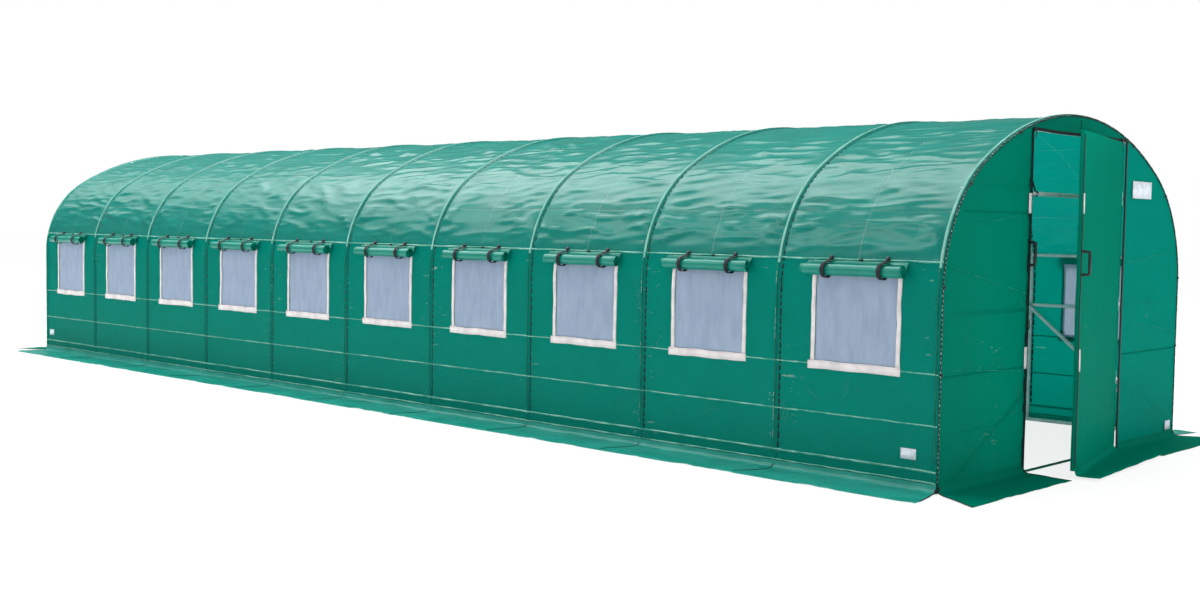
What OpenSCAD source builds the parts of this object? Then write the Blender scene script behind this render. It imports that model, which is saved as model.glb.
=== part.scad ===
// Walk-in polytunnel greenhouse: bent steel hoops under a sewn green cover,
// with ten roll-up windows down each side and a hinged door flap in one end.
// Millimetres. X runs along the tunnel with the open door end at +X, Z is up.
// The origin is the middle of the footprint at ground level.

/* [Tunnel] */
// Length over the two end hoops
tunnel_length = 10000; // [8000:100:12000]
// Width over the hoops at the ground
tunnel_width = 3000; // [2700:50:3600]
// Height to the top of the hoops
tunnel_height = 2000; // [1900:50:2400]
// Straight foot of each hoop, below its shoulder bend
leg_height = 1000; // [800:10:1150]
// Outer radius of the shoulder bend
shoulder_r = 800; // [600:10:850]

/* [Frame] */
// Outer diameter of every frame tube
tube_d = 25; // [20:1:32]
// Height of the lower side purlin
side_purlin_z = 820; // [500:10:950]
// Height of the tube that crosses each doorway
cross_tube_z = 1540; // [1450:10:1700]
// Height of the rail between each end hoop and door post
end_rail_z = 900; // [700:10:1300]
// Height at which the foot brace meets the door post
end_brace_z = 450; // [300:10:600]
// Thickness of the flat sill bar across each end
sill_t = 5; // [3:0.5:6]

/* [Doorway] */
// Spacing of the two door posts, centre to centre
post_spacing = 1200; // [900:10:1500]
// Height of the doorway under the header
doorway_h = 1885; // [1750:5:1890]
// How far the door flap stands open at rest
door_ajar = 13.4; // [5:0.1:20]
// Running clearance round the door flap
door_gap = 10; // [6:1:20]
// Height of the flap's lower edge above the ground
door_lift = 11; // [10.5:0.5:25]

/* [Cover] */
// Thickness of the cover, seams and all
cover_t = 3; // [2:0.5:5]
// Height of the roof seam above the straight feet
seam_rise = 170; // [100:10:250]
// Width of the skirt that lies out on the ground
skirt_w = 297; // [200:1:400]
// How far the skirts spread past the corners
skirt_flare = 60; // [20:5:80]
// Width of the door flap's own skirt at its free edge
door_skirt_w = 132; // [60:1:200]

/* [Windows] */
// Width of each window
window_w = 500; // [400:10:600]
// Height of each window
window_h = 480; // [350:10:600]
// Drop from the roof seam to the window tops
window_drop = 70; // [55:5:90]
// Width of the fastening tape beside each window
tape_w = 35; // [20:1:50]
// Width of the fastening tape under each window
sill_tape_w = 45; // [20:1:60]
// Length of each rolled flap
roll_len = 620; // [540:10:700]
// Diameter of each rolled flap
roll_d = 72; // [50:1:90]
// Width of the straps that hold the rolls
strap_w = 18; // [12:1:30]

/* [Handles] */
// Height of the D handles
handle_h = 130; // [100:5:180]
// How far the handles stand out
handle_out = 45; // [35:1:60]
// Height of the middle of the handle on the wall
wall_handle_z = 1210; // [1000:10:1400]
// Height of the middle of the handle on the door flap
door_handle_z = 1165; // [1000:10:1400]

/* [Hidden] */
$fn = 96;
BAYS = 10;
HOOPS = [for (i = [1:BAYS + 1]) str("hoop_", i < 10 ? "0" : "", i)];

// Colours
GALVANISED = [0.72, 0.74, 0.76];
COVER_GREEN = [0.0, 0.48, 0.42];
END_GREEN = [0.0, 0.43, 0.34];
NET_BLUE = [0.62, 0.68, 0.78];
TAPE_WHITE = [0.92, 0.89, 0.88];
TRIM_BLACK = [0.05, 0.05, 0.06];

// Seat gap between a skin or tube and what it lies against
GAP = 0.3;
TUBE_R = tube_d / 2;
HALF_L = tunnel_length / 2;
HALF_W = tunnel_width / 2;
JOINT_LINE = 1;
SPIGOT_LEN = 50;
SPIGOT_WALL = 2.5;
PITCH = (tunnel_length - tube_d) / BAYS;
END_X = HALF_L - TUBE_R;

// The hoop's outline: a straight foot, a shoulder arc and a flatter crown arc
// that runs on from it without a kink.
SHOULDER_Y = HALF_W - shoulder_r;
RISE = tunnel_height - leg_height;
CROWN_R = (HALF_W * HALF_W + RISE * RISE - 2 * HALF_W * shoulder_r) / (2 * (RISE - shoulder_r));
CROWN_Z = tunnel_height - CROWN_R;
JOIN = atan2(leg_height - CROWN_Z, SHOULDER_Y);

// Height of the outline at y, grown outwards by off
function outline_z(y, off) =
    abs(y) <= (CROWN_R + off) * cos(JOIN)
        ? CROWN_Z + sqrt(pow(CROWN_R + off, 2) - y * y)
        : leg_height + sqrt(pow(shoulder_r + off, 2) - pow(abs(y) - SHOULDER_Y, 2));

// Half width of the outline at height z, grown outwards by off
function outline_y(z, off) =
    z <= leg_height
        ? HALF_W + off
        : z <= leg_height + (shoulder_r + off) * sin(JOIN)
            ? SHOULDER_Y + sqrt(pow(shoulder_r + off, 2) - pow(z - leg_height, 2))
            : sqrt(pow(CROWN_R + off, 2) - pow(z - CROWN_Z, 2));

// Points over the arch from one shoulder to the other, starting at an angle
// up the +Y shoulder and ending at the same angle on the -Y one
STEP = 1.5;
function arc_steps(from, to) =
    let (n = ceil((to - from) / STEP)) [for (i = [0:n]) from + (to - from) * i / n];
function shoulder_points(off, from) = [for (a = arc_steps(from, JOIN))
    [SHOULDER_Y + (shoulder_r + off) * cos(a), leg_height + (shoulder_r + off) * sin(a)]];
function crown_points(off) = [for (a = arc_steps(JOIN, 180 - JOIN))
    [(CROWN_R + off) * cos(a), CROWN_Z + (CROWN_R + off) * sin(a)]];
function inner_part(list) = [for (i = [1:len(list) - 2]) list[i]];
function turned_over(list) = [for (i = [len(list) - 1:-1:0]) [-list[i][0], list[i][1]]];
function arch_points(off, from) = concat(
    shoulder_points(off, from), inner_part(crown_points(off)), turned_over(shoulder_points(off, from)));
function reversed(list) = [for (i = [len(list) - 1:-1:0]) list[i]];

// Seam between the side walls and the roof, as an angle round the shoulder
SEAM_ANGLE = asin(seam_rise / shoulder_r);

// Inside of the roof skin, clear of the hoops between its flats too
ROOF_IN = GAP + CROWN_R * (1 - cos(STEP / 2));

// Windows
WINDOW_TOP = leg_height + seam_rise - window_drop;
WINDOW_SILL = WINDOW_TOP - window_h;
BAY_CENTRES = [for (i = [0:BAYS - 1]) -END_X + PITCH * (i + 0.5)];
STRAP_PLACES = [-0.26, 0.3];
STRAP_T = 2.5;
TAPE_T = 1.5;
NET_T = 1.2;
COVER_OUT = GAP + cover_t;
ROLL_R = roll_d / 2;
ROLL_REACH = COVER_OUT + GAP + STRAP_T + GAP + ROLL_R;
ROLL_LIFT = 12;
ROLL_ANGLE = asin((WINDOW_TOP + ROLL_LIFT - leg_height) / (shoulder_r + ROLL_REACH));

// Doorway
POST_Y = post_spacing / 2;
POST_TOP = outline_z(POST_Y + TUBE_R, -tube_d) - GAP;
BEHIND_X = END_X - tube_d - GAP;
LINTEL_Z = doorway_h + TUBE_R - 2;
SLEEVE_IN = TUBE_R + GAP;
SLEEVE_OUT = SLEEVE_IN + cover_t;
PANEL_EDGE_LEFT = -POST_Y + TUBE_R + 7.5;
PANEL_EDGE_RIGHT = POST_Y + SLEEVE_OUT + 6;
DOOR_LEN = POST_Y - PANEL_EDGE_LEFT - door_gap;
DOOR_TOP = doorway_h - door_gap;
NOTCH_HALF = 40;
NOTCH_DEPTH = TUBE_R + GAP + 12;
DOOR_SKIRT_START = 30;

// Tubes beside and on the ground
SIDE_TUBE_Y = HALF_W - tube_d - GAP - TUBE_R;
BRACE_Y = SIDE_TUBE_Y - tube_d - GAP;
SILL_HALF = SIDE_TUBE_Y - TUBE_R - GAP;

// Skirts
SKIRT_IN = COVER_OUT + GAP;
SKIRT_T = 3;
END_FLARE = 170;
SKIRT_SLANT = 20;

// Handles
HANDLE_D = 9;
HANDLE_BEND = 14;
HANDLE_PLATE = [2, 16, 26];

// Stands a flat shape drawn as (y, z) across the tunnel at x
module across(x, t) {
    translate([x, 0, 0]) rotate([90, 0, 90]) linear_extrude(t) children();
}

// An arc drawn round (y, z), running along the tunnel from its profile
module arc_about(y, z, from, to) {
    translate([0, y, z]) rotate([90, 0, 90]) rotate([0, 0, from])
        rotate_extrude(angle = to - from) children();
}

module both_sides() {
    children();
    mirror([0, 1, 0]) children();
}

// The +Y side's shape, or its mirror image on the -Y side
module on_side(s) {
    if (s > 0) children();
    else mirror([0, 1, 0]) children();
}

module tube_along(x0, x1, y, z) {
    translate([x0, y, z]) rotate([0, 90, 0]) cylinder(h = x1 - x0, d = tube_d);
}

module tube_across(x, y0, y1, z) {
    translate([x, y0, z]) rotate([-90, 0, 0]) cylinder(h = y1 - y0, d = tube_d);
}

// Tube in an upright plane, from one end point to the other
module tube_between(p, q) {
    d = q - p;
    translate(p) rotate([0, acos(d[2] / norm(d)), atan2(d[1], d[0])])
        cylinder(h = norm(d), d = tube_d);
}

// Angle that a length takes up along an arc
function arc_angle(length, r) = length / r * 180 / PI;

// Spigot inside the tubes where two lengths of a hoop meet, at an angle up
// the shoulder
module spigot(angle) {
    r = shoulder_r - TUBE_R;
    translate([0, SHOULDER_Y + r * cos(angle), leg_height + r * sin(angle)]) rotate([angle, 0, 0])
        cylinder(h = SPIGOT_LEN, r = TUBE_R - SPIGOT_WALL, center = true);
}

// Five lengths of tube joined by spigots, with a fine joint line between them
module hoop(x) {
    side_r = shoulder_r - TUBE_R;
    top_r = CROWN_R - TUBE_R;
    side_gap = arc_angle(JOINT_LINE / 2, side_r);
    top_gap = arc_angle(JOINT_LINE / 2, top_r);
    color(GALVANISED) translate([x, 0, 0]) {
        both_sides() {
            translate([0, HALF_W - TUBE_R, 0]) cylinder(h = leg_height - JOINT_LINE / 2, d = tube_d);
            arc_about(SHOULDER_Y, leg_height, side_gap, JOIN - side_gap)
                translate([side_r, 0]) circle(d = tube_d);
            spigot(0);
            spigot(JOIN);
        }
        arc_about(0, CROWN_Z, JOIN + top_gap, 180 - JOIN - top_gap)
            translate([top_r, 0]) circle(d = tube_d);
    }
}

module ridge_purlin() {
    color(GALVANISED) tube_along(-HALF_L, HALF_L, 0, tunnel_height - tube_d - GAP - TUBE_R);
}

// Lies inside the hoops at the roof seam
module upper_purlin(s) {
    reach = shoulder_r - tube_d - GAP - TUBE_R;
    rise = asin(seam_rise / reach);
    color(GALVANISED) tube_along(-HALF_L, HALF_L,
        s * (SHOULDER_Y + reach * cos(rise)), leg_height + seam_rise);
}

module lower_purlin(s) {
    color(GALVANISED) tube_along(-HALF_L, HALF_L, s * SIDE_TUBE_Y, side_purlin_z);
}

module base_rail(s) {
    color(GALVANISED) tube_along(-HALF_L, HALF_L, s * SIDE_TUBE_Y, TUBE_R);
}

// One in each end bay of each side, from the foot of the end hoop to the
// lower purlin at the next hoop
module corner_braces() {
    foot = [END_X - TUBE_R, BRACE_Y, TUBE_R + 1];
    head = [END_X - PITCH, BRACE_Y, side_purlin_z];
    color(GALVANISED) both_sides() {
        tube_between(foot, head);
        mirror([1, 0, 0]) tube_between(foot, head);
    }
}

// Two posts on a sill bar, with a rail and a brace out to the hoop on each
// side. The cross tube and the lintel run behind the posts and the hoop.
module door_frame() {
    leg_y = HALF_W - tube_d - GAP;
    cross_half = outline_y(cross_tube_z, -TUBE_R);
    lintel_half = outline_y(LINTEL_Z, -TUBE_R);
    color(GALVANISED) {
        both_sides() {
            translate([END_X, POST_Y, 0]) cylinder(h = POST_TOP, d = tube_d);
            tube_across(END_X, POST_Y, leg_y, end_rail_z);
            tube_between([END_X, POST_Y, end_brace_z], [END_X, SILL_HALF - tube_d, TUBE_R + sill_t]);
        }
        tube_across(BEHIND_X, -cross_half, cross_half, cross_tube_z);
        tube_across(BEHIND_X, -lintel_half, lintel_half, LINTEL_Z);
        translate([END_X - TUBE_R, -SILL_HALF, 0]) cube([tube_d, 2 * SILL_HALF, sill_t]);
    }
}

module rear_door_frame() {
    mirror([1, 0, 0]) door_frame();
}

// Wall skin over the straight foot and the start of the shoulder, between
// offsets from the hoop outline and between two places along the tunnel
module side_skin(off, t, x0, x1, top_angle) {
    translate([x0, HALF_W + off, 0]) cube([x1 - x0, t, leg_height]);
    arc_about(SHOULDER_Y, leg_height, 0, top_angle)
        translate([shoulder_r + off, x0]) square([t, x1 - x0]);
}

module roof_cover() {
    start = SEAM_ANGLE + arc_angle(GAP, shoulder_r);
    end_x = HALF_L + COVER_OUT;
    color(COVER_GREEN) across(-end_x, 2 * end_x) polygon(concat(
        arch_points(COVER_OUT, start), reversed(arch_points(ROOF_IN, start))));
}

// A box through the side wall round each window, grown on each edge
module window_boxes(left, right, below, above) {
    for (x = BAY_CENTRES)
        translate([x - window_w / 2 - left, SHOULDER_Y, WINDOW_SILL - below])
            cube([window_w + left + right, shoulder_r + 100, window_h + below + above]);
}

module side_wall(s) {
    end_x = HALF_L + COVER_OUT;
    color(COVER_GREEN) on_side(s) difference() {
        side_skin(GAP, cover_t, -end_x, end_x, SEAM_ANGLE);
        window_boxes(0, 0, 0, 0);
    }
}

module window_nets(s) {
    off = GAP + (cover_t - NET_T) / 2;
    color(NET_BLUE) on_side(s) intersection() {
        side_skin(off, NET_T, -HALF_L, HALF_L, SEAM_ANGLE);
        window_boxes(-GAP, -GAP, -GAP, -GAP);
    }
}

// White fastening tape down both sides and along the bottom of each window
module window_tapes(s) {
    color(TAPE_WHITE) on_side(s) difference() {
        intersection() {
            side_skin(COVER_OUT + GAP, TAPE_T, -HALF_L, HALF_L, SEAM_ANGLE);
            window_boxes(tape_w, tape_w, sill_tape_w, 0);
        }
        window_boxes(0, 0, 0, 10);
    }
}

// Places a shape along X on the line on which the rolls lie
module at_rolls(s) {
    reach = shoulder_r + ROLL_REACH;
    on_side(s) for (x = BAY_CENTRES)
        translate([x, SHOULDER_Y + reach * cos(ROLL_ANGLE), leg_height + reach * sin(ROLL_ANGLE)])
            rotate([0, 90, 0]) children();
}

module window_rolls(s) {
    color(COVER_GREEN) at_rolls(s) cylinder(h = roll_len, d = roll_d, center = true);
}

module roll_straps(s) {
    color(TRIM_BLACK) at_rolls(s)
        for (place = STRAP_PLACES) translate([0, 0, place * roll_len]) difference() {
            cylinder(h = strap_w, r = ROLL_R + GAP + STRAP_T, center = true);
            cylinder(h = strap_w + 2, r = ROLL_R + GAP, center = true);
        }
}

// The arched end, cut to a window from y0 to y1 and from z0 up
module end_outline(y0, y1, z0) {
    off = GAP / 2;
    intersection() {
        polygon(concat([[HALF_W + off, 0]], arch_points(off, 0), [[-HALF_W - off, 0]]));
        translate([y0, z0]) square([y1 - y0, 2 * tunnel_height]);
    }
}

module front_panel(s) {
    color(END_GREEN) across(HALF_L + GAP, cover_t)
        if (s < 0) end_outline(-2 * HALF_W, PANEL_EDGE_LEFT, 0);
        else end_outline(PANEL_EDGE_RIGHT, 2 * HALF_W, 0);
}

module front_header() {
    color(END_GREEN) across(HALF_L + GAP, cover_t)
        end_outline(PANEL_EDGE_LEFT + GAP, PANEL_EDGE_RIGHT - GAP, doorway_h);
}

module rear_wall() {
    color(END_GREEN) across(-HALF_L - COVER_OUT, cover_t) difference() {
        end_outline(-2 * HALF_W, 2 * HALF_W, 0);
        translate([-POST_Y, -1]) square([post_spacing, doorway_h + 1]);
    }
}

module rear_door() {
    color(END_GREEN) across(-HALF_L - COVER_OUT, cover_t)
        translate([-POST_Y + GAP, 0]) square([post_spacing - 2 * GAP, doorway_h - GAP]);
}

// Places a shape drawn with the closed door flap's hinge line at the origin:
// the flap runs towards -Y and its outside faces +X
module on_door() {
    translate([END_X, POST_Y, 0]) rotate([0, 0, door_ajar]) children();
}

// The flap hangs on sleeves round the door post. Its hinge edge is notched
// where tubes meet the post.
module front_door() {
    color(END_GREEN) on_door() {
        difference() {
            union() {
                translate([SLEEVE_IN, -DOOR_LEN, door_lift])
                    cube([cover_t, DOOR_LEN, DOOR_TOP - door_lift]);
                translate([0, 0, door_lift]) cylinder(h = DOOR_TOP - door_lift, r = SLEEVE_OUT);
            }
            cylinder(h = tunnel_height, r = SLEEVE_IN);
            for (z = [end_brace_z, end_rail_z, cross_tube_z])
                translate([-2 * SLEEVE_OUT, -NOTCH_DEPTH, z - NOTCH_HALF])
                    cube([4 * SLEEVE_OUT, NOTCH_DEPTH + 2 * SLEEVE_OUT, 2 * NOTCH_HALF]);
        }
        translate([0, 0, door_lift]) linear_extrude(SKIRT_T) polygon([
            [SLEEVE_IN, -DOOR_SKIRT_START],
            [SLEEVE_OUT + skirt_w - SKIRT_IN, -DOOR_SKIRT_START],
            [SLEEVE_OUT + door_skirt_w, -DOOR_LEN],
            [SLEEVE_IN, -DOOR_LEN]]);
    }
}

module side_skirt(s) {
    color(COVER_GREEN) on_side(s) linear_extrude(SKIRT_T) polygon([
        [-HALF_L, HALF_W + SKIRT_IN],
        [-HALF_L - skirt_flare, HALF_W + skirt_w],
        [HALF_L + skirt_flare, HALF_W + skirt_w],
        [HALF_L, HALF_W + SKIRT_IN]]);
}

// End skirt on the +X end from y0 to y1, each end splayed by a given amount
module end_skirt(y0, y1, splay0, splay1) {
    color(COVER_GREEN) linear_extrude(SKIRT_T) polygon([
        [HALF_L + SKIRT_IN, y0],
        [HALF_L + skirt_w, y0 - splay0],
        [HALF_L + skirt_w, y1 + splay1],
        [HALF_L + SKIRT_IN, y1]]);
}

module front_skirt_left() {
    end_skirt(-HALF_W, PANEL_EDGE_LEFT - 10, END_FLARE, -SKIRT_SLANT);
}

module front_skirt_right() {
    end_skirt(PANEL_EDGE_RIGHT, HALF_W, 0, END_FLARE);
}

module rear_skirt() {
    mirror([1, 0, 0]) end_skirt(-HALF_W, HALF_W, END_FLARE, END_FLARE);
}

// D handle standing out along +X from x = 0, its grip upright
module d_handle() {
    straight = handle_h / 2 - HANDLE_BEND;
    grip_x = handle_out - HANDLE_D / 2;
    for (s = [-1, 1]) scale([1, 1, s]) {
        translate([0, 0, handle_h / 2]) rotate([0, 90, 0])
            cylinder(h = grip_x - HANDLE_BEND, d = HANDLE_D);
        translate([grip_x - HANDLE_BEND, 0, straight]) rotate([90, 0, 0])
            rotate_extrude(angle = 90) translate([HANDLE_BEND, 0]) circle(d = HANDLE_D);
        translate([0, -HANDLE_PLATE[1] / 2, handle_h / 2 - HANDLE_PLATE[2] / 2]) cube(HANDLE_PLATE);
    }
    translate([grip_x, 0, -straight]) cylinder(h = 2 * straight, d = HANDLE_D);
}

module wall_handle() {
    color(TRIM_BLACK) translate([HALF_L + COVER_OUT, PANEL_EDGE_LEFT - 18, wall_handle_z]) d_handle();
}

module door_handle() {
    color(TRIM_BLACK) on_door() translate([SLEEVE_OUT, -DOOR_LEN + 25, door_handle_z]) d_handle();
}

for (i = [0:BAYS]) hoop(-END_X + i * PITCH);
ridge_purlin();
upper_purlin(-1);  // upper_purlin_left
upper_purlin(1);  // upper_purlin_right
lower_purlin(-1);  // lower_purlin_left
lower_purlin(1);  // lower_purlin_right
base_rail(-1);  // base_rail_left
base_rail(1);  // base_rail_right
corner_braces();
door_frame();  // front_door_frame
rear_door_frame();
roof_cover();
side_wall(-1);  // side_wall_left
side_wall(1);  // side_wall_right
front_panel(-1);  // front_panel_left
front_panel(1);  // front_panel_right
front_header();
front_door();
rear_wall();
rear_door();
side_skirt(-1);  // skirt_left
side_skirt(1);  // skirt_right
front_skirt_left();
front_skirt_right();
rear_skirt();
window_nets(-1);  // window_nets_left
window_nets(1);  // window_nets_right
window_tapes(-1);  // window_tapes_left
window_tapes(1);  // window_tapes_right
window_rolls(-1);  // window_rolls_left
window_rolls(1);  // window_rolls_right
roll_straps(-1);  // roll_straps_left
roll_straps(1);  // roll_straps_right
wall_handle();
door_handle();
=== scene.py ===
"""Looks of a walk-in polytunnel greenhouse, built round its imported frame.

Metres. X runs along the tunnel with the open door at +X, Z is up, and the left side is -Y.
"""
import math

import bpy
import numpy as np
from mathutils import Matrix, Vector


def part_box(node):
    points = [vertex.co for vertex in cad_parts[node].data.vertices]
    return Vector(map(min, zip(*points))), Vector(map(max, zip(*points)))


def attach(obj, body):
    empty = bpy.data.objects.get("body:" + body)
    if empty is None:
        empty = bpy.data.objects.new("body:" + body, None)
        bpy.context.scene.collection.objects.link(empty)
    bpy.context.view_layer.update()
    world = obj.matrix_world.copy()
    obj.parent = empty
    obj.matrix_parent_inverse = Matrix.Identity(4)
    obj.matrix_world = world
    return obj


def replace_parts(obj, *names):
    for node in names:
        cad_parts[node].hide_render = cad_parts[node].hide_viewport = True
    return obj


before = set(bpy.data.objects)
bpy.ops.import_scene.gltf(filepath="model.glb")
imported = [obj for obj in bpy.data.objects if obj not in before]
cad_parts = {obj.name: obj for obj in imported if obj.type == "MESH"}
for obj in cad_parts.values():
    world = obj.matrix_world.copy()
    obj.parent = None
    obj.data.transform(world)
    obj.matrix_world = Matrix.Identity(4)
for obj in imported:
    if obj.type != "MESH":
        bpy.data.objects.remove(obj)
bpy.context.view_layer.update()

# Sizes of the frame that the sheets follow. s is a distance round the hoops from their top.
BAYS = 10
HOOPS = [f"hoop_{i:02d}" for i in range(1, BAYS + 2)]
HOOP_X = [sum(c.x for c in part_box(h)) / 2 for h in HOOPS]
PITCH = HOOP_X[1] - HOOP_X[0]
BAY_X = [x + PITCH / 2 for x in HOOP_X[:-1]]
HOOP_LOW, HOOP_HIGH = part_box("hoop_01")
TUBE_R = (HOOP_HIGH.x - HOOP_LOW.x) / 2
HALF_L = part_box("ridge_purlin")[1].x
HALF_W = HOOP_HIGH.y
TOP = HOOP_HIGH.z
LEG = 1.0
SHOULDER_R = 0.8
SHOULDER_Y = HALF_W - SHOULDER_R
RISE = TOP - LEG
CROWN_R = (HALF_W ** 2 + RISE ** 2 - 2 * HALF_W * SHOULDER_R) / (2 * (RISE - SHOULDER_R))
CROWN_Z = TOP - CROWN_R
CROWN_TILT = math.pi / 2 - math.atan2(LEG - CROWN_Z, SHOULDER_Y)
CROWN_LEN = CROWN_R * CROWN_TILT
SHOULDER_LEN = SHOULDER_R * (math.pi / 2 - CROWN_TILT)
ARCH_LEN = CROWN_LEN + SHOULDER_LEN + LEG
SEAM_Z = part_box("side_wall_left")[1].z
SEAM_S = ARCH_LEN - LEG - SHOULDER_R * math.asin((SEAM_Z - LEG) / (SHOULDER_R + 0.003))
COVER_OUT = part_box("roof_cover")[1].z - TOP
COVER_END = HALF_L + COVER_OUT

WINDOW_W = 0.5
HALF_WINDOW = WINDOW_W / 2
WINDOW_SILL, WINDOW_TOP = (c.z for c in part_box("window_nets_left"))
HIDDEN = 0.012
TAPE_W = 0.035
SILL_TAPE_W = 0.045
ROLL_LOW, ROLL_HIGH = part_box("window_rolls_left")
ROLL_R = (ROLL_HIGH.z - ROLL_LOW.z) / 2
ROLL_Z = (ROLL_HIGH.z + ROLL_LOW.z) / 2
ROLL_Y = -(ROLL_HIGH.y + ROLL_LOW.y) / 2
ROLL_LEN = 0.62
STRAP_PLACES = (-0.26 * ROLL_LEN, 0.3 * ROLL_LEN)
STRAP_W = 0.0261

POST_Y = 0.6
HINGE = Vector((HOOP_X[-1], POST_Y, 0))
AJAR = math.radians(13.4)
DOOR_LEN = 1.17
DOOR_LIFT, DOOR_TOP = (c.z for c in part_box("front_door"))
PANEL_EDGE_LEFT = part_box("front_panel_left")[1].y
PANEL_EDGE_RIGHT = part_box("front_panel_right")[0].y
HEADER_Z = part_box("front_header")[0].z
FRONT_X = HALF_L + COVER_OUT / 2
SKIRT_END, SKIRT_OUT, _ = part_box("skirt_right")[1]
END_SKIRT_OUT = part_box("front_skirt_left")[1].x
END_SKIRT_SPLAY = -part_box("front_skirt_left")[0].y
SKIRT_RISE = 0.046
END_RAIL_Z = 0.9
CROSS_TUBE_Z = 1.54
BRACE_TOP_Z = 0.45
CLEAR = 0.004
SIDES = {"left": -1, "right": 1}
ENDS = {"front": 1, "rear": -1}
OUT = {facing: np.array([facing, 0.0, 0.0]) for facing in (1, -1)}
UP = np.array([0, 0, 1.0])

# ---------------------------------------------------------------- camera

CAMERA_AT = Vector((8.566, -7.70, 1.324))
YAW, PITCH_DOWN, ROLL = (math.radians(a) for a in (133.72, -3.046, 0.901))
looking = Vector((math.cos(PITCH_DOWN) * math.cos(YAW), math.cos(PITCH_DOWN) * math.sin(YAW),
                  math.sin(PITCH_DOWN)))
level = Vector((math.sin(YAW), -math.cos(YAW), 0))
right = level * math.cos(ROLL) + level.cross(looking) * math.sin(ROLL)
camera = bpy.data.objects.new("camera", bpy.data.cameras.new("camera"))
bpy.context.scene.collection.objects.link(camera)
camera.matrix_world = Matrix.Translation(CAMERA_AT) @ Matrix(
    (right, right.cross(looking), -looking)).transposed().to_4x4()
camera.data.sensor_width = 36
camera.data.lens = 41.73
camera.data.clip_end = 200
bpy.context.scene.camera = camera

# ---------------------------------------------------------------- finishes


def fill(tree, socket, value):
    if isinstance(value, Value):
        tree.links.new(value.socket, socket)
    else:
        socket.default_value = value


def add_node(tree, kind, settings=None, sockets=None, out=0):
    """A node of any type: its settings are set first, then its sockets are filled or linked."""
    made = tree.nodes.new(kind)
    for key, value in (settings or {}).items():
        setattr(made, key, value)
    for key, value in (sockets or {}).items():
        fill(tree, made.inputs[key], value)
    return Value(tree, made.outputs[out])


class Value:
    """A shader socket that adds Math nodes when it is used in an expression."""

    def __init__(self, tree, socket):
        self.tree = tree
        self.socket = socket

    def maths(operation, swapped=False):
        """A method that adds one Math node; swapped is for the reflected forms."""
        def method(self, *others):
            terms = (*others, self) if swapped else (self, *others)
            return add_node(self.tree, "ShaderNodeMath", {"operation": operation}, dict(enumerate(terms)))
        return method

    __add__ = __radd__ = maths("ADD")
    __sub__ = maths("SUBTRACT")
    __rsub__ = maths("SUBTRACT", True)
    __mul__ = __rmul__ = maths("MULTIPLY")
    __pow__ = maths("POWER")
    wave = maths("SINE")
    size = maths("ABSOLUTE")
    most = maths("MAXIMUM")

    def ramp(self, low, high):
        """0 below low, 1 above high, and smooth between."""
        return add_node(self.tree, "ShaderNodeMapRange", {"interpolation_type": "SMOOTHSTEP"},
                        {0: self, 1: low, 2: high})


def colour(red, green, blue):
    """A linear colour from 0-255 screen values."""
    return tuple(((c / 255 + 0.055) / 1.055) ** 2.4 if c > 10 else c / 255 / 12.92
                 for c in (red, green, blue)) + (1,)


class Finish:
    """A material with one principled shader whose sockets are set by name; the slot it is given is kept but
    not used.
    """

    def __init__(self, name, slot, **constants):
        self.slot = slot
        self.material = bpy.data.materials.new(name)
        self.material.use_nodes = True
        self.tree = self.material.node_tree
        self.tree.nodes.clear()
        self.output = self.tree.nodes.new("ShaderNodeOutputMaterial")
        self.shader = self.tree.nodes.new("ShaderNodeBsdfPrincipled")
        self.put(**constants)
        self.show(Value(self.tree, self.shader.outputs[0]))

    def show(self, surface):
        self.surface = surface
        self.tree.links.new(surface.socket, self.output.inputs[0])

    def put(self, **sockets):
        for name, value in sockets.items():
            socket = name.replace("_", " ").title().replace("Ior", "IOR")
            fill(self.tree, self.shader.inputs[socket], value)

    def node(self, kind, settings=None, sockets=None, out=0):
        return add_node(self.tree, kind, settings, sockets, out)

    def cloth_place(self):
        """The spot on the cloth, in metres along and across it."""
        return self.node("ShaderNodeAttribute", {"attribute_name": "cloth"}, out="Vector")

    def solid_place(self):
        return self.node("ShaderNodeTexCoord", out="Object")

    def along(self, place, axis):
        return self.node("ShaderNodeSeparateXYZ", sockets={0: place}, out=axis)

    def ribs(self, place, axis, tightness):
        return (self.along(place, axis) * tightness).wave()

    def stretched(self, place, scale):
        return self.node("ShaderNodeVectorMath", {"operation": "MULTIPLY"}, {0: place, 1: scale})

    def noise(self, place, scale, detail=3.0, rough=0.5, twist=0.0):
        return self.node("ShaderNodeTexNoise", None,
                         {"Vector": place, "Scale": scale, "Detail": detail,
                          "Roughness": rough, "Distortion": twist}, "Fac")

    def mix(self, share, *tones):
        """A blend of two tones, each a colour in screen values or a link."""
        first, second = (t if isinstance(t, Value) else colour(*t) for t in tones)
        return self.node("ShaderNodeMix", {"data_type": "RGBA"}, {0: share, 6: first, 7: second}, 2)

    def paint(self, share, *tones):
        self.put(base_color=self.mix(share, *tones))

    def bump(self, height, distance):
        self.put(normal=self.node("ShaderNodeBump", None, {"Height": height, "Distance": distance}))

    def glow_through(self, tint, share):
        """Lets light through thin cloth."""
        thin = self.node("ShaderNodeBsdfTranslucent", None, {"Color": colour(*tint)})
        self.show(self.node("ShaderNodeMixShader", None, {0: share, 1: self.surface, 2: thin}))


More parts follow.
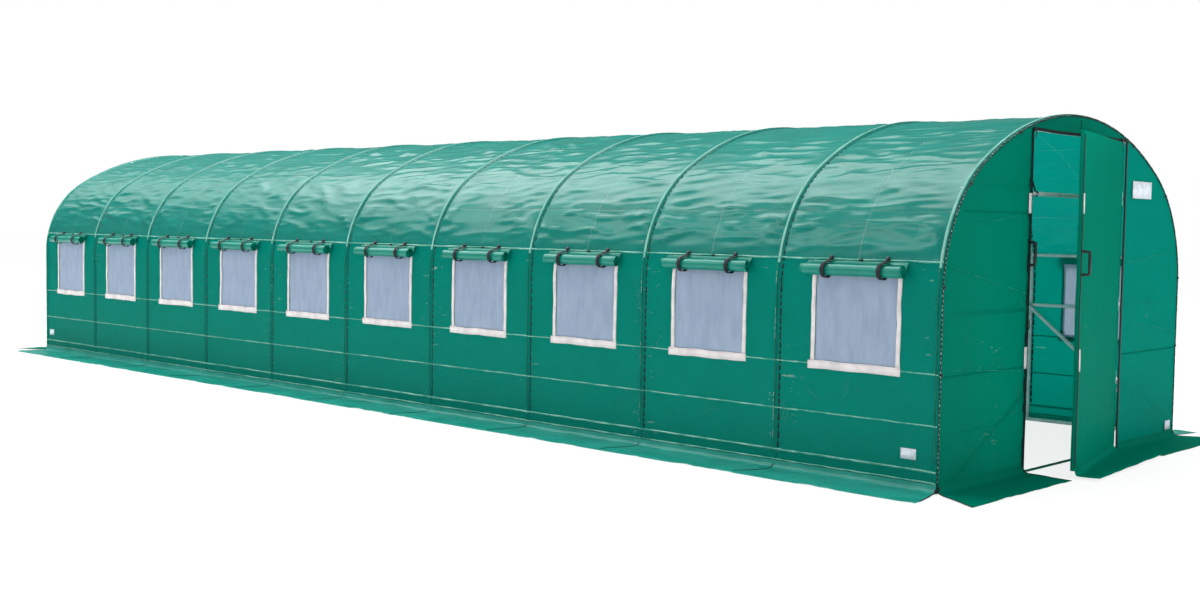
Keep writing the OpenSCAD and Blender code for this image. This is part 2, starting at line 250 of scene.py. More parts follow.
def cover_finish(name, slot, body, shade, nick_and_highlight_share, gloss, coat, crinkle, stretch=(1.0, 1.0, 1.0),
                 fold_every=0.0):
    """Coated woven cover cloth: fine tape weave, a coarser net of strengthening threads, packing folds,
    short pale nicks beside the hoops, painted highlights along creases and folds, and a gloss that varies."""
    f = Finish(name, slot, specular_ior_level=0.0, coat_weight=coat, coat_roughness=gloss, coat_ior=1.5)
    place = f.cloth_place()
    long = f.stretched(place, stretch)
    along, across = f.along(place, 0), f.along(place, 1)
    broad = f.noise(place, 1.1, 3, 0.6)
    mottle = f.noise(long, 7.0, 5, 0.62, 0.6)
    fine = f.noise(long, 34.0, 4, 0.6, 0.4)
    off_hoop = ((along - HOOP_X[0]) * (math.pi / PITCH)).wave().size()
    by_hoop = 1 - off_hoop.ramp(0.12, 0.62)
    dashed = f.stretched(place, (0.45, 1.7, 1.0))
    nick = (1 - f.noise(dashed, 30.0, 2, 0.5, 1.4).ramp(0.285, 0.325)) * broad.ramp(0.40, 0.60) * by_hoop
    edge = f.node("ShaderNodeTexVoronoi", {"feature": "DISTANCE_TO_EDGE"},
                  {"Vector": long, "Scale": 8.0, "Randomness": 1.0}, "Distance")
    crease = (1 - edge.ramp(0.0, 0.05)) * mottle.ramp(0.52, 0.68) * broad.ramp(0.45, 0.65)
    threads = (along * 1570.0).wave().most((across * 1570.0).wave())
    net = ((along * 314.0).wave().size() ** 14.0).most((across * 314.0).wave().size() ** 14.0)
    height = mottle * crinkle + fine * (0.3 * crinkle) + threads * 0.02 + net * 0.02 + crease * 0.15
    # Pale paint: short nicks beside the hoops, and painted highlights along the crease edges
    worn = nick * 0.8 + crease * 0.12
    if fold_every:
        sway = (mottle - 0.5) * 0.03
        packed = ((across + sway) * (math.pi / fold_every)).wave().size()
        middle = ((along - BAY_X[0] + sway) * (math.pi / PITCH)).wave().size()
        folded = (1 - packed.ramp(0.0, 0.05)).most(1 - middle.ramp(0.0, 0.022)) * broad.ramp(0.30, 0.55)
        height = height + folded * 0.5
        # Painted highlights along the packing folds
        worn = worn + folded * 0.42
    # The pale colour is painted over the body for the nicks, and as painted highlights on creases and folds
    f.paint(worn * nick_and_highlight_share, f.mix(mottle.ramp(0.3, 0.72), body, shade), (168, 206, 194))
    f.put(roughness=0.5 + mottle * 0.2)
    f.bump(height, 0.006)
    f.glow_through(body, 0.36)
    return f


# Lit copies of the wall cloth: the roof is painted lighter for the light from above, the rolled window flaps
# lighter for their painted highlights, and the side skirts paler still as a painted sheen.
LIT_ROOF_CLOTH = cover_finish("lit_roof_cloth", "cover_green", (0, 136, 124), (0, 126, 114), 0.55, 0.26, 0.85, 1.5,
                          (0.4, 1.0, 1.0), 0.385)
WALL_CLOTH = cover_finish("wall_cloth", "cover_green", (0, 131, 116), (0, 125, 110), 0.7, 0.34, 0.10, 0.30)
LIT_FLAP_CLOTH = cover_finish("lit_flap_cloth", "cover_green", (0, 146, 128), (0, 138, 120), 0.4, 0.30, 0.9, 0.45)
LIT_SKIRT_CLOTH = cover_finish("lit_skirt_cloth", "cover_green", (52, 174, 160), (8, 146, 130), 0.9, 0.28, 0.85,
                           1.6, (0.5, 1.0, 1.0))
END_CLOTH = cover_finish("end_cloth", "end_green", (0, 123, 101), (0, 118, 96), 0.3, 0.36, 0.04, 0.22)
LIT_END_CLOTH = cover_finish("lit_end_cloth", "end_green", (0, 134, 118), (0, 128, 112), 0.3, 0.36, 0.04,
                             0.22)
# Painted highlight along the creases of the end sheets
CREASE_HIGHLIGHT = cover_finish("crease_highlight_cloth", "end_green", (62, 158, 136), (30, 142, 120), 0.3, 0.4, 0.1, 0.3)
# Painted highlight over each hoop's bulge on the roof, and painted shade beside it on the walls
HOOP_HIGHLIGHT = cover_finish("hoop_highlight_cloth", "cover_green", (150, 204, 192), (118, 186, 172), 0.4, 0.3, 0.3, 0.6)
HOOP_SHADE = cover_finish("hoop_shade_cloth", "cover_green", (24, 128, 110), (0, 98, 82), 0.5, 0.34, 0.2,
                          0.5)


def net_finish(f, place):
    """Fine insect mesh, pale blue-grey, with its threads raised."""
    threads = f.ribs(place, 0, 2094.0).most(f.ribs(place, 1, 2094.0))
    cloudy = f.noise(f.stretched(place, (3.0, 0.8, 1.0)), 6.0, 4, 0.6)
    slub = f.noise(f.stretched(place, (60.0, 1.5, 1.0)), 2.0, 2, 0.5)
    tone = f.mix(cloudy.ramp(0.3, 0.7), (144, 160, 188), (162, 176, 202))
    tone = f.mix(slub.ramp(0.55, 0.75) * 0.35, tone, (188, 198, 214))
    f.paint(threads.ramp(0.2, 1.0) * 0.18, tone, (200, 208, 222))
    f.bump(threads, 0.0004)
    f.glow_through((150, 166, 190), 0.2)


def tape_finish(f, place):
    """White hook-and-loop tape, nubbly, with some dust."""
    nubs = f.noise(place, 700.0, 2, 0.6)
    dust = f.noise(place, 9.0, 4, 0.6)
    tone = f.mix(dust.ramp(0.35, 0.75), (216, 210, 210), (190, 184, 186))
    f.paint(nubs.ramp(0.5, 0.8) * 0.3, tone, (172, 168, 170))
    f.bump(nubs, 0.0008)


def webbing_finish(f, place):
    """Black strap webbing with a herringbone rib."""
    rib = ((f.along(place, 0) + f.along(place, 1).size()) * 2513.0).wave()
    fuzz = f.noise(place, 240.0, 3, 0.6)
    f.paint(fuzz.ramp(0.3, 0.8), (20, 26, 32), (38, 44, 50))
    f.bump(rib + fuzz * 0.6, 0.0005)


def plastic_finish(f, place):
    """Black moulded plastic with a fine grain and rubbed high spots."""
    rubbed = f.noise(place, 40.0, 4, 0.6)
    f.paint(rubbed.ramp(0.4, 0.8), (22, 26, 30), (44, 48, 54))
    f.put(roughness=0.34 + rubbed * 0.22)
    f.bump(f.noise(place, 900.0, 2, 0.5), 0.0003)


def zip_finish(f, place):
    """Black zip tape, woven, with pale dust in the weave."""
    f.paint(f.noise(place, 60.0, 4, 0.7).ramp(0.45, 0.85), (14, 20, 26), (46, 60, 64))
    f.bump(f.ribs(place, 0, 1885.0), 0.0005)


def steel_finish(f, place):
    """Hot-dip galvanised tube: spangle and dull patches."""
    spangle = f.node("ShaderNodeTexVoronoi", None, {"Vector": place, "Scale": 160.0}, "Color")
    dull = f.noise(place, 12.0, 5, 0.65)
    f.paint(0.12, f.mix(dull.ramp(0.3, 0.75), (220, 223, 226), (186, 191, 196)), spangle)
    f.put(roughness=0.34 + dull * 0.25)
    f.bump(f.noise(place, 300.0, 3, 0.5), 0.0002)


def seam_finish(f, place):
    """Turned and stitched seam of the cover: a pale painted highlight along its crest on green, with thread
    dimples.
    """
    # rubbed marks where the painted highlight lies along the crest
    rubbed = f.noise(f.stretched(place, (1.0, 6.0, 1.0)), 7.0, 4, 0.7, 0.5)
    f.paint(rubbed.ramp(0.40, 0.68), (0, 132, 114), (128, 188, 172))
    f.bump(f.ribs(place, 0, 524.0) * 0.4 + rubbed, 0.0012)


def thread_finish(f, place):
    """Pale sewing thread, also used for painted highlight dashes beside the hoops."""
    f.paint(f.noise(place, 30.0, 3, 0.6).ramp(0.3, 0.7), (196, 212, 206), (120, 168, 152))
    f.bump(f.noise(place, 1500.0, 1, 0.5), 0.0003)


def label_finish(f, place):
    """Blank sewn-on patch of pale coated cloth."""
    scuffs = f.noise(place, 22.0, 4, 0.65)
    f.paint(scuffs.ramp(0.35, 0.7), (222, 228, 234), (186, 200, 212))
    f.put(roughness=0.35 + scuffs * 0.3)
    f.bump(f.ribs(place, 0, 2500.0).most(f.ribs(place, 1, 2500.0)), 0.0003)


def finished(paint, name, slot, on_cloth=True, **constants):
    """A finish whose paint function is given the spot on the cloth, or in the solid."""
    f = Finish(name, slot, **constants)
    paint(f, f.cloth_place() if on_cloth else f.solid_place())
    return f


NET = finished(net_finish, "insect_mesh", "insect_net", roughness=0.7, specular_ior_level=0.2, alpha=0.94)
TAPE = finished(tape_finish, "fastening_tape", "fastening_tape", roughness=0.85, specular_ior_level=0.15)
WEBBING = finished(webbing_finish, "black_webbing", "black_trim", roughness=0.72, specular_ior_level=0.3)
PLASTIC = finished(plastic_finish, "black_plastic", "black_trim", False, specular_ior_level=0.5)
ZIP = finished(zip_finish, "zip_tape", "black_trim", roughness=0.6, specular_ior_level=0.3)
STEEL = finished(steel_finish, "galvanised_steel", None, False, metallic=0.2)
SEAM = finished(seam_finish, "seam_welt", "cover_green", roughness=0.36, specular_ior_level=0.5)
THREAD_AND_HIGHLIGHT = finished(thread_finish, "pale_thread_and_highlight", "fastening_tape", False, roughness=0.6)
LABEL = finished(label_finish, "blank_patch", "fastening_tape", specular_ior_level=0.4)

# ---------------------------------------------------------------- mesh making


def joined(*parts):
    """Points from their x, y and z parts, each a number or an array."""
    return np.stack(np.broadcast_arrays(*parts), axis=-1)


def run_along(path):
    """Distance from the start at each point of a path."""
    return np.concatenate([[0], np.cumsum(np.linalg.norm(np.diff(path, axis=0), axis=1))])


class Batch:
    """Points and faces gathered into one piece, each point with its spot on the cloth."""

    def __init__(self):
        self.points = []
        self.faces = []
        self.spots = []
        self.count = 0

    def add(self, points, faces, spots):
        self.points.append(points)
        self.spots.append(spots)
        self.faces.extend((np.asarray(f) + self.count).tolist() for f in faces)
        self.count += len(points)

    def grid(self, points, spots, keep=None, flip=False):
        """A net of four-sided faces through rows of points."""
        at = np.arange(points[..., 0].size).reshape(points.shape[:2])
        quads = np.stack([at[:-1, :-1], at[:-1, 1:], at[1:, 1:], at[1:, :-1]], axis=-1)
        quads = quads.reshape(-1, 4) if keep is None else quads[keep]
        if flip:
            quads = quads[:, ::-1]
        used, quads = np.unique(quads, return_inverse=True)
        self.add(points.reshape(-1, 3)[used], quads.reshape(-1, 4), spots.reshape(-1, 2)[used])

    def skin(self, rings, spots):
        """A closed skin through rings of points, capped at both ends."""
        at = np.arange(rings[..., 0].size).reshape(rings.shape[:2])
        after = np.roll(at, -1, axis=1)
        sides = np.stack([at[:-1], after[:-1], after[1:], at[1:]], axis=-1).reshape(-1, 4)
        self.add(rings.reshape(-1, 3), [*sides, at[0][::-1], at[-1]], spots.reshape(-1, 2))

    def ribbon(self, path, ups, width, thick):
        """A flat band along a path, its outer face towards ups, with square edges."""
        path = np.asarray(path, float)
        way = np.gradient(path, axis=0)
        way /= np.linalg.norm(way, axis=1)[:, None]
        side = np.cross(way, np.broadcast_to(np.asarray(ups, float), path.shape))
        side /= np.linalg.norm(side, axis=1)[:, None]
        out = np.cross(side, way) * thick
        half = np.broadcast_to(np.asarray(width, float) / 2, (len(path),))[:, None]
        edge = side * half
        rings = np.stack([path - edge, path + edge, path + edge + out, path - edge + out], axis=1)
        self.skin(rings, joined(run_along(path)[:, None], np.array([-1, 1, 1, -1]) * half))

    def turned(self, foot, axis, profile, sides=12):
        """A knob turned on an axis, from (radius, height) pairs."""
        axis = Vector(axis).normalized()
        across = axis.orthogonal().normalized()
        over = axis.cross(across)
        rings = np.array([[Vector(foot) + axis * h + (across * math.cos(a) + over * math.sin(a)) * r
                           for a in np.linspace(0, 2 * math.pi, sides, endpoint=False)] for r, h in profile])
        self.skin(rings, np.zeros(rings.shape[:2] + (2,)))

    def piece(self, name, finish, slot=None, body="tunnel", turn=None, smooth=True):
        mesh = bpy.data.meshes.new(name)
        mesh.from_pydata(np.concatenate(self.points).tolist(), [], self.faces)
        spots = np.concatenate(self.spots)
        mesh.attributes.new("cloth", "FLOAT_VECTOR", "POINT").data.foreach_set(
            "vector", joined(*spots.T, 0).astype(np.float32).ravel())
        mesh.materials.append(finish.material)
        mesh.polygons.foreach_set("use_smooth", [smooth] * len(mesh.polygons))
        if turn is not None:
            mesh.transform(turn)
        mesh.update()
        made = bpy.data.objects.new(name, mesh)
        bpy.context.scene.collection.objects.link(made)
        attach(made, body)
        return made


def cloth(name, finish, points, spots, flat, held, rests_on, stands_for=(), area=None, keep=None,
          flip=False, **riding):
    """A piece of cloth made of one net of faces; its flat size and how and where it lies are given but not
    used.
    """
    batch = Batch()
    batch.grid(points, spots, keep, flip)
    made = batch.piece(name, finish, **riding)
    if stands_for:
        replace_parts(made, *stands_for)
    return made


def hashed(i, j, seed):
    """Repeatable values from 0 to 1 at whole-number points."""
    n = i.astype(np.uint64) * np.uint64(374761393) + j.astype(np.uint64) * np.uint64(668265263)
    n = (n + np.uint64(seed * 974634777 + 12345)) & np.uint64(0xFFFFFFFF)
    for shift, factor in ((13, 1274126177), (15, 2246822519)):
        n = ((n ^ (n >> np.uint64(shift))) * np.uint64(factor)) & np.uint64(0xFFFFFFFF)
    return ((n ^ (n >> np.uint64(16))) & np.uint64(0xFFFF)).astype(float) / 65535


def rough(u, v, seed):
    """Smooth irregular waves about one unit apart, from about -1 to 1."""
    u, v = np.broadcast_arrays(np.asarray(u, float) + 4096, np.asarray(v, float) + 4096)
    i, j = np.floor(u), np.floor(v)
    fu, fv = u - i, v - j
    su, sv = (f ** 3 * (f * (f * 6 - 15) + 10) for f in (fu, fv))
    total = np.zeros_like(fu)
    for di in (0, 1):
        for dj in (0, 1):
            angle = 2 * np.pi * hashed(i + di, j + dj, seed)
            dot = np.cos(angle) * (fu - di) + np.sin(angle) * (fv - dj)
            total += dot * (su if di else 1 - su) * (sv if dj else 1 - sv)
    return total * 1.5


def ridge(u, v, seed, power):
    """Sharp irregular crests, up to 1, along the lines where the smooth waves pass 0."""
    return np.clip(1 - np.abs(rough(u, v, seed)), 0, 1) ** power


def wander(xs, seed, size=0.0015, period=0.12):
    return size * rough(xs / period, 0.5, seed)


def ease(t):
    t = np.clip(t, 0, 1)
    return t * t * (3 - 2 * t)


def upper(a, b, soft):
    """The greater of two heights, rounded where they cross."""
    return (a + b + np.sqrt((a - b) ** 2 + soft ** 2)) / 2


def crest(u, v, folds):
    """Height of many sharp folds, each (u, v, angle, length, width, height)."""
    total = np.zeros(u.shape)
    at, reach = folds[:, :2], folds[:, 3:4]
    met = ((at + reach > (u.min(), v.min())) & (at - reach < (u.max(), v.max()))).all(axis=1)
    for fu, fv, angle, length, width, height in folds[met]:
        du, dv = u - fu, v - fv
        near = (np.abs(du) < length) & (np.abs(dv) < length)
        du, dv = du[near], dv[near]
        run = (du * math.cos(angle) + dv * math.sin(angle)) / length
        off = (dv * math.cos(angle) - du * math.sin(angle)) / (width * (0.35 + 0.65 * (1 - np.abs(run))))
        total[near] += height * np.clip(1 - run * run, 0, 1) ** 1.5 * np.exp(-np.abs(off) ** 1.4)
    return total


# ---------------------------------------------------------------- how the cover lies


def arch(s, out=0.0):
    """(y, z) round the hoops at s, out metres proud of them, and which way is out there."""
    a = np.abs(s)
    crown = a <= CROWN_LEN
    tilt = np.where(crown, a / CROWN_R,
                    np.minimum(CROWN_TILT + (a - CROWN_LEN) / SHOULDER_R, math.pi / 2))
    ny, nz = np.sin(tilt), np.cos(tilt)
    down = np.maximum(a - CROWN_LEN - SHOULDER_LEN, 0)
    y = np.where(crown, CROWN_R * ny, SHOULDER_Y + SHOULDER_R * ny) + out * ny
    z = np.where(crown, CROWN_Z + CROWN_R * nz, LEG + SHOULDER_R * nz - down) + out * nz
    return np.sign(s) * y, z, np.sign(s) * ny, nz


def arch_s(z):
    """s at a height on the foot or the lower shoulder."""
    if z <= LEG:
        return ARCH_LEN - z
    return ARCH_LEN - LEG - SHOULDER_R * math.asin((z - LEG) / SHOULDER_R)


SILL_S, HEAD_S = arch_s(WINDOW_SILL), arch_s(WINDOW_TOP)
RANDOM = np.random.default_rng(11)
draw = RANDOM.uniform


def hoop_fans():
    """Crinkles that spread from each hoop just above the roof seam."""
    folds = []
    for x in HOOP_X:
        for side in (-1, 1):
            for way in np.repeat((-1, 1), 9):
                reach, lean = draw(0.10, 0.32), draw(0.25, 1.25)
                start = SEAM_S - draw(0.01, 0.20)
                folds.append((x + way * (0.02 + reach * 0.5 * math.cos(lean)),
                              side * (start - reach * 0.5 * math.sin(lean)),
                              math.atan2(-side * math.sin(lean), way * math.cos(lean)),
                              reach, draw(0.009, 0.016), draw(0.005, 0.010)))
    return np.array(folds)


def roof_folds():
    """Long sharp folds that run along each bay of the roof, and slanting ones low on its sides."""
    folds = []
    for x in BAY_X:
        for _ in range(46):
            folds.append((x + draw(-0.34, 0.34), draw(-SEAM_S + 0.05, SEAM_S - 0.05),
                          RANDOM.normal(0, 0.20), draw(0.14, 0.40), draw(0.010, 0.024), draw(0.004, 0.010)))
        for side in np.repeat((-1, 1), 9):
            s = side * draw(0.6, SEAM_S - 0.12)
            folds.append((x + draw(-0.25, 0.3), s, side * draw(0.30, 0.7),
                          draw(0.18, 0.38), draw(0.014, 0.028), draw(0.005, 0.011)))
    return np.array(folds)


FANS = hoop_fans()
ROOF_FOLDS = roof_folds()


def cover_out(x, s):
    """How far the cover stands out from the hoops' outer line."""
    x, s = np.broadcast_arrays(np.asarray(x, float), np.asarray(s, float))
    nearest = np.clip(np.round((x - HOOP_X[0]) / PITCH), 0, BAYS)
    gap = np.abs(x - HOOP_X[0] - nearest * PITCH)
    over = np.sqrt(np.maximum((TUBE_R + COVER_OUT) ** 2 - gap ** 2, 0)) - TUBE_R
    roof = ease((SEAM_S - np.abs(s)) / 0.12)
    bay = 1 - (1 - gap / (PITCH / 2)) ** 2
    beside = -0.0068 - (0.003 + 0.003 * roof) * bay
    calm = ease((gap - 0.016) / 0.10)
    warped = s + 0.05 * rough(x / 0.5, s / 0.5, 3)
    tilted = warped + 0.16 * np.sign(s) * np.abs(x)
    patch = 0.35 + 0.65 * ease((rough(x / 0.7, s / 0.45, 7) + 0.6) / 1.0)
    wrinkle = (0.013 * (ridge(x / 0.40, tilted / 0.085, 5, 2.4) - 0.3)
               - 0.007 * (ridge(x / 0.30, warped / 0.10, 6, 3) - 0.2)
               + 0.0034 * rough(x / 0.22, tilted / 0.030, 9)) * patch
    slack = 0.0022 * rough(x / 0.33, s / 0.26, 13) + 0.0009 * rough(x / 0.09, s / 0.07, 15)
    lie = beside + calm * (roof * wrinkle + (1 - roof) * slack)
    lie = lie + calm * roof * crest(x, s, ROOF_FOLDS) + ease((gap - 0.012) / 0.03) * crest(x, s, FANS)
    inside = (x > HOOP_X[0]) & (x < HOOP_X[-1])
    return np.where(inside, upper(over, np.maximum(lie, -0.0215), 0.0015), over)


def over_cover(x, s, lift=0.0):
    """Points that lie on the cover, and which way is out there."""
    out = cover_out(x, s) + lift
    y, z, ny, nz = arch(np.broadcast_to(s, out.shape), out)
    return joined(x, y, z), joined(0.0, ny, nz)


def cover_spot(x, s, lift=0.0):
    """One point on the cover, and which way is out there."""
    point, out = over_cover(np.array([x]), s, lift)
    return point[0], out[0]


EDGE_STEPS = np.array([0.005, 0.009, 0.0125, 0.0147, TUBE_R + COVER_OUT - 1e-4])
HOOP_STEPS = np.array([0.006, 0.0105, 0.0135, 0.017, 0.024, 0.045])
BESIDE = HOOP_STEPS[-1]


def columns(bay_steps):
    """Places along the tunnel: close together over each hoop, then steps across each bay."""
    xs = []
    for i, x in enumerate(HOOP_X):
        xs += [x - (HOOP_STEPS if i else EDGE_STEPS)[::-1], [x]]
        xs += [x + HOOP_STEPS, x + bay_steps] if i < BAYS else [x + EDGE_STEPS]
    return np.concatenate(xs)


# Roof, in one length over all the hoops
X, S = np.meshgrid(columns(np.linspace(BESIDE, PITCH - BESIDE, 19)[1:-1]), np.linspace(-SEAM_S, SEAM_S, 289),
                   indexing="ij")
cloth("roof_sheet", LIT_ROOF_CLOTH, over_cover(X, S)[0], joined(X, S), (2 * SEAM_S, 2 * HALF_L), "stretched",
      HOOPS + ["ridge_purlin"], ["roof_cover"])

# Side walls, with a hole for each window
stops = (BESIDE, PITCH / 2 - HALF_WINDOW, PITCH / 2 + HALF_WINDOW, PITCH - BESIDE)
wall_xs = columns(np.concatenate([np.linspace(a, b, n)[1:] for a, b, n in
                                  zip(stops, stops[1:], (9, 17, 9))])[:-1])
wall_ss = np.concatenate([np.linspace(SEAM_S, HEAD_S, 6)[:-1], np.linspace(HEAD_S, SILL_S, 25)[:-1],
                          np.linspace(SILL_S, ARCH_LEN - CLEAR, 33)])
WALL_HEIGHT = ARCH_LEN - SEAM_S
for side_name, side in SIDES.items():
    X, S = np.meshgrid(wall_xs, side * wall_ss, indexing="ij")
    mid_x = (X[:-1, :-1] + X[1:, 1:]) / 2
    mid_s = np.abs(S[:-1, :-1] + S[1:, 1:]) / 2
    in_bay = np.min([np.abs(mid_x - x) for x in BAY_X], axis=0)
    hole = (in_bay < HALF_WINDOW) & (mid_s > HEAD_S) & (mid_s < SILL_S)
    cloth(f"wall_sheet_{side_name}", WALL_CLOTH, over_cover(X, S)[0], joined(X, np.abs(S)),
          (2 * HALF_L, WALL_HEIGHT), "stretched", HOOPS, [f"side_wall_{side_name}"], keep=~hole,
          area=2 * HALF_L * WALL_HEIGHT - BAYS * WINDOW_W * (WINDOW_TOP - WINDOW_SILL), flip=side < 0)


def welt(batch, xs, s, side, width, height, seed):
    """A turned seam standing on the cover, a little uneven along its length."""
    sway = wander(xs, seed)
    swell = 1 + 0.25 * rough(xs / 0.05, 0.5, seed + 1)
    rows = [over_cover(xs, side * (s + sway + share * width), height * rise * swell)[0]
            for share, rise in ((-0.5, -0.15), (-0.3, 0.75), (0, 1), (0.3, 0.7), (0.5, -0.15))]
    batch.grid(np.stack(rows, axis=1), joined(xs[:, None], np.linspace(0, width, 5)), flip=side < 0)


# Seams along each side: where, how wide and how high each is
seam_xs = wall_xs[np.abs(wall_xs) < HALF_L - 0.002]
SEAM_LINES = ((SEAM_S, 0.011, 0.005), (arch_s(0.602), 0.008, 0.0035), (arch_s(0.34), 0.008, 0.0035),
              (arch_s(0.107), 0.012, 0.004), (arch_s(0.05), 0.010, 0.004))
for side_name, side in SIDES.items():
    batch = Batch()
    for i, (s, width, height) in enumerate(SEAM_LINES):
        welt(batch, seam_xs, s, side, width, height, 20 + 2 * i + (side > 0))
    batch.piece(f"wall_seams_{side_name}", SEAM)

# Black stitches beside each hoop on the door side, wide and close on the walls, where they are also a
# painted shadow line of the hoop's bulge; a few pale dashes on the far side are a painted highlight of the
# bulge
black, pale = Batch(), Batch()
for x in HOOP_X[1:-1]:
    s = -ARCH_LEN + 0.12
    while s < ARCH_LEN - 0.12:
        on_wall = abs(s) > SEAM_S
        length = draw(0.020, 0.045) if on_wall else draw(0.010, 0.030)
        for batch, offset, keep in ((black, 0.0178, True), (pale, -0.0175, RANDOM.random() < 0.35)):
            if keep:
                line, up = over_cover(x + offset, np.array([s, s + length]), -0.0004)
                width = (0.0120 if on_wall else 0.0080) if batch is black else 0.0022
                batch.ribbon(line, up, width * draw(0.7, 1.2), 0.0022)
        s += length + (draw(0.004, 0.016) if on_wall else draw(0.008, 0.028))
black.piece("hoop_stitching_and_shadow", ZIP)
pale.piece("hoop_highlight_dashes", THREAD_AND_HIGHLIGHT)

# Strip of cover doubled over each hoop, coloured as light falls on the hoop's bulge: a pale painted
# highlight on the roof, and dark painted shade on the walls
roof_hoop_highlights, wall_hoop_shades = Batch(), Batch()
FOOT_S = ARCH_LEN - 0.16
LAP_S = SEAM_S + 0.03
for i, x in enumerate(HOOP_X):
    for batch, start, end, steps, width in ((roof_hoop_highlights, -LAP_S, LAP_S, 200, 0.0150),
                                            (wall_hoop_shades, -FOOT_S, -LAP_S, 80, 0.0110),
                                            (wall_hoop_shades, LAP_S, FOOT_S, 80, 0.0110)):
        run = np.linspace(start, end, steps)
        worn = np.clip(1.0 + 0.25 * rough(run / 0.09, i, 95), 0.4, 1.3)
        batch.ribbon(*over_cover(x - 0.0035 + wander(run, 90 + i, 0.0012, 0.2), run, 0.0006),
                     width * worn, 0.0012)
roof_hoop_highlights.piece("hoop_highlights_roof", HOOP_HIGHLIGHT)
wall_hoop_shades.piece("hoop_shades_walls", HOOP_SHADE)

# ---------------------------------------------------------------- windows


def beside_wall(rise):
    """From the middle of a roll out to the wall, rise metres above it."""
    return float(arch(arch_s(ROLL_Z + rise))[0]) - ROLL_Y + 0.006


# Section of a rolled flap from its middle: a spiral, then the lead back up to the wall
SPIRAL_TURNS = 4
SPIRAL_START = math.radians(205)
SPIRAL_END = SPIRAL_START + 2 * math.pi * SPIRAL_TURNS - 0.6
CORE_R = 0.007
turns = np.linspace(0, 1, 24 * SPIRAL_TURNS + 1)
radius = CORE_R + (ROLL_R - 0.0015 - CORE_R) * turns ** 0.85
angle = SPIRAL_START + 2 * math.pi * SPIRAL_TURNS * turns
reach, rise = (radius * np.cos(angle))[angle <= SPIRAL_END], (radius * np.sin(angle))[angle <= SPIRAL_END]
reach = np.append(reach, [reach[-1] * 0.98, beside_wall(0.045)])
rise = np.append(rise, [rise[-1] + 0.02, 0.047])
rolled = run_along(joined(reach, rise))

# Section of a strap round the roll, the arc of the fold over it, and a knob from its foot up
STRAP_R = ROLL_R + 0.0048
turn = np.radians(np.linspace(96, -176, 26))
strap_y = np.append(beside_wall(0.056), STRAP_R * np.cos(turn))
strap_z = np.append(0.056, STRAP_R * np.sin(turn))
HOOD_BEND = np.radians(np.array([140, 134, 128, 122, 116, 110]))
KNOB = ((0.006, 0), (0.006, 0.009), (0.012, 0.011), (0.013, 0.015), (0.011, 0.020), (0.004, 0.0215))

